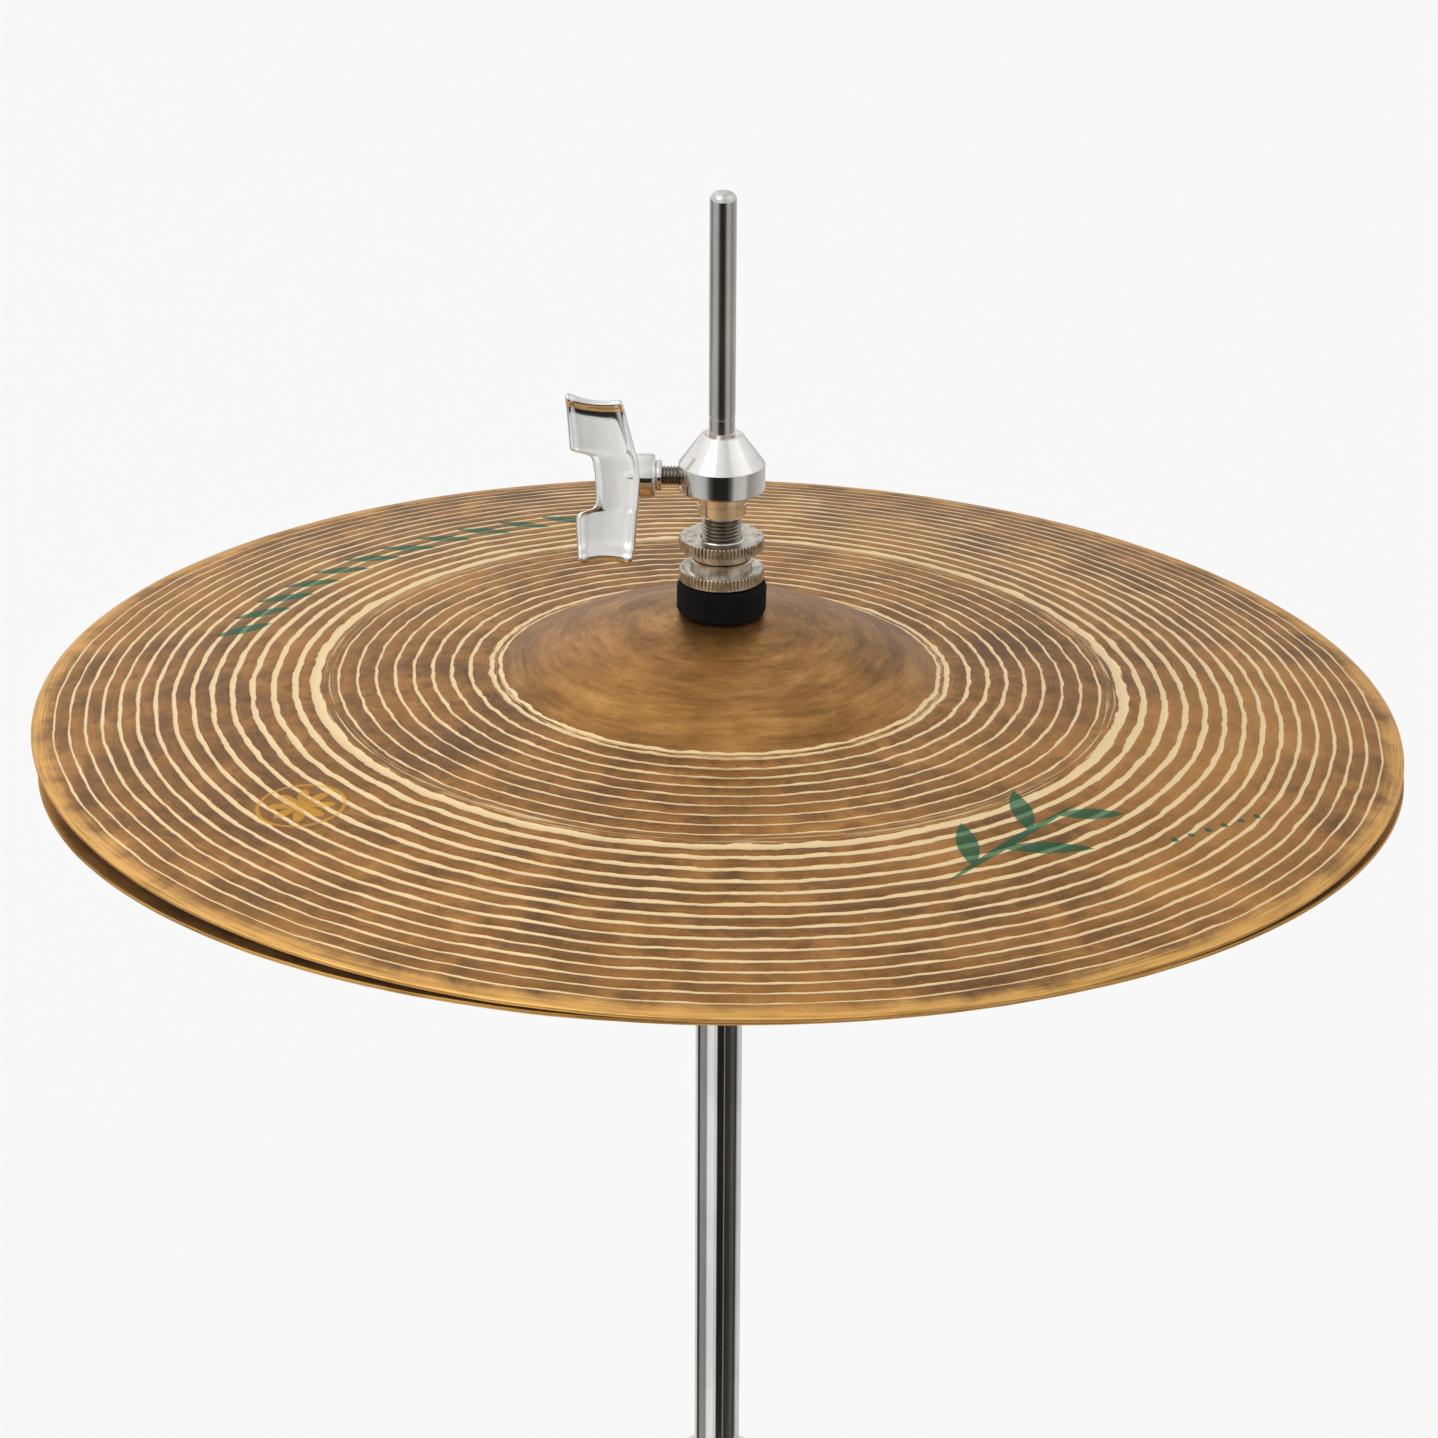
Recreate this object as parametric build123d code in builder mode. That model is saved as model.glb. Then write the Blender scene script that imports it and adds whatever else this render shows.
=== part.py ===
from build123d import *
import os
from math import acos, atan2, cos, degrees, hypot, radians, sin

# Hi-hat on its stand: a pair of cymbals, clutch, pull rod, tubes, folding tripod and pedal.
# Frame: origin on the floor under the tube, +Z up, the pedal towards -Y. Millimetres.

# ---- driving dimensions ----
RIM_Z = 850.0                  # rim of the top cymbal above the floor
CYMBAL_R = 177.8               # 14 inch cymbals
CYMBAL_T = 1.1
BELL_R = 57.5                  # where the bell meets the bow
BOW_RISE = 11.9                # rise of the bow if it ran on to the centre
BELL_TOP = 26.3                # top of the bell above the rim
CYMBAL_HOLE_R = 6.25
TOP_TILT = 1.1                 # degrees, right side down
SEAT_TILT = 2.65               # degrees, set by the tilter screw
SEAT_HIGH_SIDE = 264.0         # azimuth of the side that the tilter lifts
CLOSED_GAP = 8.9               # between the rims at the centre, closed

ROD_TIP_Z = RIM_Z + 138.2
ROD_STEP_Z = RIM_Z + 80.0
ROD_TOP_R = 3.40
ROD_R = 3.33
ROD_GROOVE = 0.8               # width of the turned groove where the two finishes meet
ROD_GROOVE_R = 3.15
LOWER_ROD_R = 3.0
ROD_JOIN_Z = 608.0
CHAIN_PITCH = 12.7
CHAIN_LINKS = 4

TUBE_R = 6.35                  # half-inch upper tube
TUBE_BORE_R = 4.85
TUBE_TOP_Z = 793.7
TUBE_BOTTOM_Z = 430.0
OUTER_TUBE_R = 11.1
OUTER_TUBE_BORE_R = 9.6
OUTER_TUBE_TOP_Z = 545.0
OUTER_TUBE_BOTTOM_Z = 150.0
SLIDE_FIT = 0.06               # radial clearance of parts that slide or turn on each other

SEAT_PIVOT_Z = 796.7
TILTER_SCREW_R = 18.0          # distance of the tilter screw from the tube axis

LEG_AZIMUTHS = {"back": 90.0, "left": 210.0, "right": 330.0}
LEG_PIVOT_R = 26.0
LEG_PIVOT_Z = 310.0
BRACE_PIVOT_Z = 165.0
FOOT_R = 330.0
FOOT_PIVOT_Z = 12.0
BRACE_JOINT = 185.0            # along the leg from its pivot to the brace
STRAP_T = 2.5
STRAP_W = 16.0
LUG_T = 9.5                    # lugs and braces that sit between the two straps of a leg

PEDAL_AXIS_Y = -300.0
PEDAL_AXIS_Z = 22.0
PEDAL_ANGLE = 10.0
TOE_PIN_Z = 75.0
FLOOR_PLATE_Z = 3.0            # rubber under the floor plates
FLOOR_PLATE_T = 8.0

os.makedirs("parts", exist_ok=True)


def save(part, name):
    """Label a finished piece and write it as its own STEP file."""
    part.label = name
    export_step(part, f"parts/{name}.step")


def side_plane(frame):
    """The plane through a frame's axis on which turned profiles are drawn as (radius, height)."""
    return Plane(origin=frame.origin, x_dir=frame.x_dir, z_dir=-frame.y_dir)


def turned(frame, *outline):
    """A turned piece from its closed (radius, height) outline about the frame's Z axis."""
    with BuildPart() as piece:
        with BuildSketch(side_plane(frame)):
            with BuildLine():
                Polyline(*outline, close=True)
            make_face()
        revolve(axis=Axis(frame.origin, frame.z_dir))
    return piece.part


def ring(frame, inner, outer, low, high):
    """A plain turned ring."""
    return turned(frame, (inner, low), (outer, low), (outer, high), (inner, high))


STAND = Plane.XY
RIM = Plane.XY.offset(RIM_Z)

top_normal = Vector(sin(radians(TOP_TILT)), 0, cos(radians(TOP_TILT)))
top_side = Vector(cos(radians(TOP_TILT)), 0, -sin(radians(TOP_TILT)))
HOLE_MID = BELL_TOP - CYMBAL_T / 2
top_pivot = Vector(0, 0, RIM_Z + HOLE_MID)
TOP_FRAME = Plane(origin=top_pivot - top_normal * HOLE_MID, x_dir=top_side, z_dir=top_normal)

seat_lean = sin(radians(SEAT_TILT))
seat_normal = Vector(
    -seat_lean * cos(radians(SEAT_HIGH_SIDE)),
    -seat_lean * sin(radians(SEAT_HIGH_SIDE)),
    cos(radians(SEAT_TILT)),
)
SEAT_FRAME = Plane(origin=(0, 0, SEAT_PIVOT_Z), z_dir=seat_normal)
BOTTOM_RIM = RIM_Z - SEAT_PIVOT_Z - 2 * CYMBAL_T - CLOSED_GAP
BOTTOM_FRAME = Plane(origin=SEAT_FRAME.origin + seat_normal * BOTTOM_RIM,
                     x_dir=SEAT_FRAME.x_dir, z_dir=-seat_normal)


# ---- cymbals ----
COVE_W = 9.0                   # hollow blend between bell and bow
COVE_H = 4.6
COVE_SLOPE = (1.0, -0.66)
CROWN_DROP = 4.1               # fall of the bell half way out


def cymbal(frame):
    """Thin bronze plate: an arched bow with a raised bell, the rim at height 0 of its frame."""
    bow_radius = (CYMBAL_R ** 2 + BOW_RISE ** 2) / (2 * BOW_RISE)

    def bow(radius):
        return BOW_RISE - bow_radius + (bow_radius ** 2 - radius ** 2) ** 0.5

    with BuildPart() as plate:
        with BuildSketch(side_plane(frame)):
            with BuildLine():
                for drop in (0.0, CYMBAL_T):
                    crown_end = (BELL_R - COVE_W, bow(BELL_R) + COVE_H - drop)
                    ThreePointArc((CYMBAL_HOLE_R, BELL_TOP - drop),
                                  (BELL_R * 0.53, BELL_TOP - CROWN_DROP - drop), crown_end)
                    TangentArc(crown_end, (BELL_R, bow(BELL_R) - drop), tangent=COVE_SLOPE)
                    middle = (BELL_R + CYMBAL_R) / 2
                    ThreePointArc((BELL_R, bow(BELL_R) - drop), (middle, bow(middle) - drop),
                                  (CYMBAL_R, -drop))
                Line((CYMBAL_HOLE_R, BELL_TOP), (CYMBAL_HOLE_R, BELL_TOP - CYMBAL_T))
                Line((CYMBAL_R, 0), (CYMBAL_R, -CYMBAL_T))
            make_face()
        revolve(axis=Axis(frame.origin, frame.z_dir))
    return plate.part


save(cymbal(TOP_FRAME), "top_cymbal")
save(cymbal(BOTTOM_FRAME), "bottom_cymbal")

# ---- pull rod ----
with BuildPart() as upper_pull_rod:
    with BuildSketch(Plane.XY.offset(ROD_JOIN_Z)):
        Circle(ROD_R)
    extrude(amount=ROD_STEP_Z - ROD_JOIN_Z)
    with BuildSketch(Plane.XY.offset(ROD_STEP_Z)):
        Circle(ROD_TOP_R)
    extrude(amount=ROD_TIP_Z - ROD_STEP_Z)
    fillet(upper_pull_rod.edges().sort_by(Axis.Z)[-1], radius=2.2)
    with BuildSketch(Plane.XY.offset(ROD_STEP_Z - ROD_GROOVE)):
        Circle(ROD_TOP_R + 1)
        Circle(ROD_GROOVE_R, mode=Mode.SUBTRACT)
    extrude(amount=ROD_GROOVE, mode=Mode.SUBTRACT)
save(upper_pull_rod.part, "upper_pull_rod")

CHAIN_TOP_Z = TOE_PIN_Z + CHAIN_LINKS * CHAIN_PITCH
CLEVIS_TOP_Z = CHAIN_TOP_Z + 16.0
CLEVIS_GAP = 5.0               # half the gap between the clevis cheeks
CLEVIS_HALF = 7.2

with BuildPart() as lower_pull_rod:
    with BuildSketch(Plane.XY.offset(CLEVIS_TOP_Z)):
        Circle(LOWER_ROD_R)
    extrude(amount=ROD_JOIN_Z - CLEVIS_TOP_Z)
save(lower_pull_rod.part, "lower_pull_rod")

save(turned(STAND, (LOWER_ROD_R + 0.02, ROD_JOIN_Z - 12), (4.5, ROD_JOIN_Z - 12),
            (4.5, ROD_JOIN_Z + 12), (ROD_R + 0.02, ROD_JOIN_Z + 12), (ROD_R + 0.02, ROD_JOIN_Z - 0.05),
            (LOWER_ROD_R + 0.02, ROD_JOIN_Z - 0.05)), "rod_coupler")

with BuildPart() as rod_clevis:
    with BuildSketch(Plane.XY.offset(CHAIN_TOP_Z - 6)):
        Rectangle(2 * CLEVIS_HALF, 10)
    extrude(amount=CLEVIS_TOP_Z - CHAIN_TOP_Z + 6)
    with BuildSketch(Plane.XY.offset(CHAIN_TOP_Z - 6)):
        Rectangle(2 * CLEVIS_GAP, 10)
    extrude(amount=15, mode=Mode.SUBTRACT)
    with BuildSketch(Plane.YZ.offset(-CLEVIS_HALF)):
        with Locations((0, CHAIN_TOP_Z)):
            Circle(2.02)
    extrude(amount=2 * CLEVIS_HALF, mode=Mode.SUBTRACT)
save(rod_clevis.part, "rod_clevis")

# ---- return spring on the lower rod ----
GUIDE_Z = 182.0
SPRING_SEAT_Z = 192.0
SPRING_LOW_Z = 195.0
SPRING_HIGH_Z = 285.0
SPRING_R = 6.3
SPRING_WIRE_R = 0.9
SPRING_TURNS = 10
save(ring(STAND, LOWER_ROD_R + SLIDE_FIT, OUTER_TUBE_BORE_R - 0.02, GUIDE_Z, SPRING_SEAT_Z), "rod_guide")
save(ring(STAND, LOWER_ROD_R + 0.5, OUTER_TUBE_BORE_R - 0.05, SPRING_SEAT_Z, SPRING_LOW_Z), "spring_seat")
save(ring(STAND, LOWER_ROD_R + 0.02, 8.8, SPRING_HIGH_Z, SPRING_HIGH_Z + 7), "spring_collar")

coil_height = SPRING_HIGH_Z - SPRING_LOW_Z - 2 * SPRING_WIRE_R - 0.4
with BuildPart() as return_spring:
    with BuildLine():
        coil = Helix(pitch=coil_height / SPRING_TURNS, height=coil_height, radius=SPRING_R,
                     center=(0, 0, SPRING_LOW_Z + SPRING_WIRE_R + 0.2))
    with BuildSketch(Plane(origin=coil @ 0, z_dir=coil % 0)):
        Circle(SPRING_WIRE_R)
    sweep(path=coil, is_frenet=True)
save(return_spring.part, "return_spring")

# ---- chain from the rod to the toe of the pedal ----
LINK_T = 1.2
LINK_R = 4.0


def link_plate(x_low, z_low):
    """One figure-eight side plate between two chain pins."""
    with BuildPart() as plate:
        with BuildSketch(Plane.YZ.offset(x_low)):
            for z_pin in (z_low, z_low + CHAIN_PITCH):
                with Locations((0, z_pin)):
                    Circle(LINK_R)
            with Locations((0, z_low + CHAIN_PITCH / 2)):
                Rectangle(5.4, CHAIN_PITCH)
            for z_pin in (z_low, z_low + CHAIN_PITCH):
                with Locations((0, z_pin)):
                    Circle(2.62 if z_pin == TOE_PIN_Z else 2.05, mode=Mode.SUBTRACT)
        extrude(amount=LINK_T)
    return plate.part


link_plates = []
for link in range(CHAIN_LINKS):
    inside = 2.2 if link % 2 else 3.45
    for x_low in (inside, -inside - LINK_T):
        link_plates.append(link_plate(x_low, TOE_PIN_Z + link * CHAIN_PITCH))
save(Compound(children=link_plates), "chain_links")

chain_pins = []
for joint in range(1, CHAIN_LINKS + 1):
    z_pin = TOE_PIN_Z + joint * CHAIN_PITCH
    half_pin = CLEVIS_HALF + 0.8 if joint == CHAIN_LINKS else 5.2
    with BuildPart() as chain_pin:
        with BuildSketch(Plane.YZ.offset(-half_pin)):
            with Locations((0, z_pin)):
                Circle(2.0)
        extrude(amount=2 * half_pin)
        with BuildSketch(Plane.YZ.offset(-2.1)):
            with Locations((0, z_pin)):
                Circle(3.8)
        extrude(amount=4.2)
    chain_pins.append(chain_pin.part)
save(Compound(children=chain_pins[:-1]), "chain_rollers")
save(chain_pins[-1], "rod_clevis_pin")

# ---- clutch ----
THREAD_R = 5.15
CLUTCH_BORE_R = 3.43
WING_Z = 63.5
CLUTCH_FOOT = 8.0

with BuildPart() as clutch_body:
    with BuildSketch(side_plane(RIM)):
        with BuildLine():
            Polyline((CLUTCH_BORE_R, CLUTCH_FOOT), (THREAD_R, CLUTCH_FOOT), (THREAD_R, 53.1),
                     (6.35, 53.1), (6.35, 60.0), (11.15, 60.0), (11.15, 67.1), (5.25, 74.9),
                     (CLUTCH_BORE_R, 74.9), close=True)
        make_face()
    revolve(axis=Axis.Z)
    with BuildSketch(Plane.YZ.offset(-12)):
        with Locations((0, RIM_Z + WING_Z)):
            Circle(3.0)
    extrude(amount=12, mode=Mode.SUBTRACT)
save(clutch_body.part, "clutch_body")

WING_LEAN = radians(20.0)      # the wings rest with their tops away from the player
WING_T = 4.0
WING_CORNER_R = 0.8
WING_FRONT = 5.2               # from the screw's axis to the front of the wings

wing_plane = Plane(origin=(0, 0, RIM_Z + WING_Z), x_dir=(1, 0, 0), z_dir=(0, -cos(WING_LEAN), sin(WING_LEAN)))
with BuildPart() as clutch_wing_screw:
    with BuildSketch(side_plane(Plane(origin=(0, 0, RIM_Z + WING_Z), x_dir=(0, 0, 1), z_dir=(-1, 0, 0)))):
        with BuildLine():
            Polyline((0, 3.8), (2.94, 3.8), (2.94, 14.0), (4.0, 14.0), (4.0, 17.0), (5.6, 17.0),
                     (5.6, 23.0), (3.0, 31.0), (0, 31.0), close=True)
        make_face()
    revolve(axis=Axis((0, 0, RIM_Z + WING_Z), (-1, 0, 0)))
    with BuildSketch(wing_plane.offset(WING_FRONT - WING_T)) as wings:
        with BuildLine():
            Polyline((-21.2, 4.8), (-25.4, 17.4), (-39.6, 19.2), (-38.7, 6.3), (-33.0, 4.4), (-32.0, -8.0),
                     (-37.0, -10.2), (-36.2, -22.6), (-22.3, -19.4), (-20.9, -3.0), close=True)
        make_face()
        fillet(wings.vertices(), radius=WING_CORNER_R)
    extrude(amount=WING_T)
save(clutch_wing_screw.part, "clutch_wing_screw")

NUT_R = 11.0
NUT_NECK_R = 8.0
NUT_FLANGE = 3.1
KNURL_RIBS = 44


def knurled_nut(flange_low, neck_low, neck_high):
    """Thumb nut with a straight-knurled flange and a plain neck, threaded on the clutch tube."""
    with BuildPart() as nut:
        with BuildSketch(RIM.offset(flange_low)):
            Circle(NUT_R)
            with PolarLocations(NUT_R + 0.15, KNURL_RIBS):
                Circle(0.5, mode=Mode.SUBTRACT)
        extrude(amount=NUT_FLANGE)
        with BuildSketch(RIM.offset(neck_low)):
            Circle(NUT_NECK_R)
        extrude(amount=neck_high - neck_low)
        with BuildSketch(RIM.offset(neck_low - 5)):
            Circle(THREAD_R + SLIDE_FIT)
        extrude(amount=neck_high - neck_low + 10, mode=Mode.SUBTRACT)
    return nut.part


save(knurled_nut(44.1, 41.65, 47.2), "clutch_lock_nut")
save(knurled_nut(35.6, 35.6, 41.35), "clutch_clamp_nut")
save(knurled_nut(16.0, 12.0, 19.1), "clutch_bottom_nut")

FELT_R = 11.6
FELT_BORE_R = THREAD_R + 0.35
save(ring(TOP_FRAME, FELT_BORE_R, FELT_R, BELL_TOP + 0.1, 35.1), "upper_clutch_felt")
save(ring(TOP_FRAME, FELT_BORE_R, FELT_R, 19.6, BELL_TOP - CYMBAL_T - 0.9), "lower_clutch_felt")

# ---- seat of the bottom cymbal and its tilter ----
TILT_PLATE_R = 25.0
SEAT_R = 15.0
NIPPLE_R = 5.7
NIPPLE_BORE_R = 4.8
bell_rest = BOTTOM_RIM - BELL_TOP
save(ring(SEAT_FRAME, NIPPLE_BORE_R, TILT_PLATE_R, 0.6, 2.5), "tilt_plate")
save(turned(SEAT_FRAME, (NIPPLE_BORE_R, 2.55), (SEAT_R + 2.5, 2.55), (SEAT_R + 4, 7.5), (SEAT_R + 2.6, 7.5),
            (SEAT_R + 1.2, 5.0), (NIPPLE_R, 5.0), (NIPPLE_R, bell_rest + 5.5), (NIPPLE_R - 0.5, bell_rest + 6),
            (NIPPLE_BORE_R, bell_rest + 6)), "seat_cup")
save(ring(SEAT_FRAME, NIPPLE_R + 0.1, SEAT_R, 5.1, bell_rest - 0.15), "seat_felt")

screw_dir = Vector(cos(radians(SEAT_HIGH_SIDE)), sin(radians(SEAT_HIGH_SIDE)), 0)
SCREW_FRAME = Plane(origin=screw_dir * TILTER_SCREW_R, z_dir=(0, 0, 1))
SEAT_BASE_TOP = SEAT_PIVOT_Z - 0.6
SEAT_BASE_LOW = SEAT_BASE_TOP - 18.0
EAR_LOW = SEAT_BASE_TOP - 12.0
EAR_HIGH = SEAT_BASE_TOP - 3.0
SCREW_R = 2.5

with BuildPart() as seat_base:
    with BuildSketch(Plane.XY.offset(SEAT_BASE_LOW)):
        Circle(13.0)
    extrude(amount=SEAT_BASE_TOP - SEAT_BASE_LOW)
    with BuildSketch(Plane.XY.offset(EAR_LOW)):
        with Locations((screw_dir.X * TILTER_SCREW_R, screw_dir.Y * TILTER_SCREW_R)):
            Circle(6.5)
        with Locations(Location((screw_dir.X * 11, screw_dir.Y * 11, 0), SEAT_HIGH_SIDE)):
            Rectangle(14, 13)
    extrude(amount=EAR_HIGH - EAR_LOW)
    with BuildSketch(Plane.XY.offset(SEAT_BASE_LOW)):
        Circle(TUBE_BORE_R)
        with Locations((screw_dir.X * TILTER_SCREW_R, screw_dir.Y * TILTER_SCREW_R)):
            Circle(SCREW_R + SLIDE_FIT)
    extrude(amount=SEAT_BASE_TOP - SEAT_BASE_LOW, mode=Mode.SUBTRACT)
    with BuildSketch(Plane.XY.offset(SEAT_BASE_LOW)):
        Circle(TUBE_R + 0.03)
    extrude(amount=TUBE_TOP_Z - SEAT_BASE_LOW, mode=Mode.SUBTRACT)
save(seat_base.part, "seat_base")

SCREW_TIP_Z = SEAT_PIVOT_Z + 0.15
SCREW_HEAD_LOW = EAR_LOW - 15.0
with BuildPart() as tilter_screw:
    with BuildSketch(SCREW_FRAME.offset(SCREW_HEAD_LOW)):
        Circle(SCREW_R)
    extrude(amount=SCREW_TIP_Z - SCREW_HEAD_LOW)
    with BuildSketch(SCREW_FRAME.offset(SCREW_HEAD_LOW)):
        Circle(7.0)
        with PolarLocations(7.2, 24):
            Circle(0.7, mode=Mode.SUBTRACT)
    extrude(amount=8.0)
save(tilter_screw.part, "tilter_screw")

# ---- tubes, height clamp and memory lock ----
save(ring(STAND, TUBE_BORE_R, TUBE_R, TUBE_BOTTOM_Z, TUBE_TOP_Z), "upper_tube")
save(ring(STAND, OUTER_TUBE_BORE_R, OUTER_TUBE_R, OUTER_TUBE_BOTTOM_Z, OUTER_TUBE_TOP_Z), "lower_tube")

CLAMP_LOW = 513.0
CLAMP_TOP = 552.0
CLAMP_R = 16.5
save(turned(STAND, (TUBE_R + SLIDE_FIT, 521), (OUTER_TUBE_BORE_R - 0.03, 521),
            (OUTER_TUBE_BORE_R - 0.03, OUTER_TUBE_TOP_Z), (9.0, OUTER_TUBE_TOP_Z), (9.0, 552.2), (12.5, 552.2),
            (12.5, 554.0), (TUBE_R + SLIDE_FIT, 554.0)), "tube_bush")


def split_clamp(low, high, bore, body_r, top_bore):
    """Split collar with two ears towards +X that a cross bolt along Y pulls together."""
    ear_x = body_r + 9.0
    with BuildPart() as collar:
        with BuildSketch(Plane.XY.offset(low)):
            Circle(body_r)
            with Locations((ear_x / 2, 0)):
                Rectangle(ear_x, 22)
        extrude(amount=high - low)
        chamfer(collar.faces().group_by(Axis.Z)[-1].edges(), length=1.0)
        with BuildSketch(Plane.XY.offset(low)):
            Circle(bore)
            with Locations((ear_x / 2, 0)):
                Rectangle(ear_x, 3)
        extrude(amount=high - low - 7, mode=Mode.SUBTRACT)
        with BuildSketch(Plane.XY.offset(high - 7)):
            Circle(top_bore)
            with Locations((ear_x / 2, 0)):
                Rectangle(ear_x, 3)
        extrude(amount=7, mode=Mode.SUBTRACT)
        with BuildSketch(Plane.XZ.offset(-11)):
            with Locations((ear_x - 5, (low + high) / 2)):
                Circle(3.0 + SLIDE_FIT)
        extrude(amount=22, mode=Mode.SUBTRACT)
    return collar.part


def wing_bolt(bolt_frame, shank_low, shank_high):
    """M6 bolt whose cast wings spread to both sides of its head, along the frame's Z axis."""
    with BuildPart() as bolt:
        with BuildSketch(bolt_frame.offset(shank_low)):
            Circle(3.0)
        extrude(amount=shank_high - shank_low)
        with BuildSketch(bolt_frame.offset(shank_high - 0.5)):
            Circle(6.0)
        extrude(amount=9.0)
        with BuildSketch(side_plane(bolt_frame).offset(-2.0)):
            for side in (1, -1):
                with BuildLine():
                    Polyline((side * 4.0, shank_high + 1.5), (side * 15.0, shank_high + 9.0),
                             (side * 22.0, shank_high + 17.0), (side * 16.0, shank_high + 21.0),
                             (side * 8.0, shank_high + 14.0), (side * 4.0, shank_high + 8.0), close=True)
                make_face()
        extrude(amount=4.0)
    return bolt.part


save(split_clamp(CLAMP_LOW, CLAMP_TOP, OUTER_TUBE_R + 0.03, CLAMP_R, 9.03), "tube_clamp")
clamp_bolt_frame = Plane(origin=(CLAMP_R + 4, 0, (CLAMP_LOW + CLAMP_TOP) / 2), x_dir=(0, 0, 1), z_dir=(0, -1, 0))
save(wing_bolt(clamp_bolt_frame, -13.0, 11.8), "clamp_wing_bolt")

LOCK_LOW = 603.0
LOCK_TOP = 617.0
with BuildPart() as memory_lock:
    with BuildSketch(Plane.XY.offset(LOCK_LOW)):
        Circle(12.0)
        with Locations((8, 0)):
            Rectangle(16, 14)
    extrude(amount=LOCK_TOP - LOCK_LOW)
    with BuildSketch(Plane.XY.offset(LOCK_LOW)):
        Circle(TUBE_R + 0.03)
    extrude(amount=LOCK_TOP - LOCK_LOW, mode=Mode.SUBTRACT)
    with BuildSketch(Plane.YZ):
        with Locations((0, (LOCK_LOW + LOCK_TOP) / 2)):
            Circle(2.5 + SLIDE_FIT)
    extrude(amount=17, mode=Mode.SUBTRACT)
save(memory_lock.part, "memory_lock")

with BuildPart() as memory_lock_bolt:
    with BuildSketch(Plane.YZ.offset(TUBE_R + 0.2)):
        with Locations((0, (LOCK_LOW + LOCK_TOP) / 2)):
            Circle(2.5)
    extrude(amount=12)
    with BuildSketch(Plane.YZ.offset(16.4)):
        with Locations((0, (LOCK_LOW + LOCK_TOP) / 2)):
            Circle(4.5)
    extrude(amount=2)
    with BuildSketch(Plane.YZ.offset(18.4)):
        with Locations((0, (LOCK_LOW + LOCK_TOP) / 2)):
            Rectangle(5.5, 5.5)
    extrude(amount=6)
save(memory_lock_bolt.part, "memory_lock_bolt")

# ---- folding tripod ----
LUG_R = 7.0
PIVOT_R = 2.5


def arm_plane(azimuth, offset=0.0):
    """Upright plane of a leg: local x runs outwards, local y up; the offset is sideways."""
    out = Vector(cos(radians(azimuth)), sin(radians(azimuth)), 0)
    normal = Vector(sin(radians(azimuth)), -cos(radians(azimuth)), 0)
    return Plane(origin=normal * offset, x_dir=out, z_dir=normal)


def bar(plane, start, end, width, thickness, hole_r, start_hole=True, end_hole=True):
    """Flat bar with round ends between two (out, up) points, as thick as given off its plane."""
    run = Vector(end[0] - start[0], end[1] - start[1], 0)
    middle = ((start[0] + end[0]) / 2, (start[1] + end[1]) / 2)
    angle = degrees(atan2(run.Y, run.X))
    with BuildPart() as piece:
        with BuildSketch(plane):
            with Locations(Location((middle[0], middle[1], 0), angle)):
                SlotCenterToCenter(run.length, width)
            if start_hole:
                with Locations(start):
                    Circle(hole_r, mode=Mode.SUBTRACT)
            if end_hole:
                with Locations(end):
                    Circle(hole_r, mode=Mode.SUBTRACT)
        extrude(amount=thickness)
    return piece.part


def pivot_pin(azimuth, height, half_length):
    """Headed cross pin at the pivot circle of the collar or hub."""
    with BuildPart() as pin:
        with BuildSketch(arm_plane(azimuth, -half_length)):
            with Locations((LEG_PIVOT_R, height)):
                Circle(PIVOT_R)
        extrude(amount=2 * half_length)
        for start in (-half_length - 1.5, half_length):
            with BuildSketch(arm_plane(azimuth, start)):
                with Locations((LEG_PIVOT_R, height)):
                    Circle(PIVOT_R + 1.7)
            extrude(amount=1.5)
    return pin.part


leg_top = (LEG_PIVOT_R, LEG_PIVOT_Z)
leg_foot = (FOOT_R, FOOT_PIVOT_Z)
leg_length = hypot(leg_foot[0] - leg_top[0], leg_foot[1] - leg_top[1])
brace_end = (leg_top[0] + (leg_foot[0] - leg_top[0]) * BRACE_JOINT / leg_length,
             leg_top[1] + (leg_foot[1] - leg_top[1]) * BRACE_JOINT / leg_length)
strap_in = LUG_T / 2 + 0.4     # inner face of a leg strap from the leg's middle plane
FOOT_LENGTH = 34.0
FOOT_WIDTH = 26.0
FOOT_HEIGHT = 25.0

for side, azimuth in LEG_AZIMUTHS.items():
    straps = [bar(arm_plane(azimuth, offset), leg_top, leg_foot, STRAP_W, STRAP_T, PIVOT_R + 0.05, end_hole=False)
              for offset in (strap_in, -strap_in - STRAP_T)]
    save(Compound(children=straps), f"leg_{side}")

    rivet_heads = []
    for offset in (strap_in + STRAP_T, -strap_in - STRAP_T - 1.4):
        with BuildPart() as rivet:
            with BuildSketch(arm_plane(azimuth, offset)):
                with Locations(brace_end):
                    Circle(4.5)
            extrude(amount=1.4)
        rivet_heads.append(rivet.part)
    save(Compound(children=rivet_heads), f"leg_rivets_{side}")

    save(bar(arm_plane(azimuth, -LUG_T / 2), (LEG_PIVOT_R, BRACE_PIVOT_Z), brace_end, 11.0, LUG_T,
             PIVOT_R + 0.05, end_hole=False), f"brace_{side}")

    pockets = [bar(arm_plane(azimuth, offset), leg_top, leg_foot, STRAP_W + 0.2, STRAP_T + 0.2, 1.0,
                   start_hole=False, end_hole=False) for offset in (strap_in - 0.1, -strap_in - STRAP_T - 0.1)]
    with BuildPart() as foot:
        with BuildSketch(arm_plane(azimuth, -FOOT_WIDTH / 2)):
            with Locations((FOOT_R + 2, FOOT_HEIGHT / 2)):
                RectangleRounded(FOOT_LENGTH, FOOT_HEIGHT, 5.0)
        extrude(amount=FOOT_WIDTH)
        add(pockets, mode=Mode.SUBTRACT)
    save(foot.part, f"foot_{side}")

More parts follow.
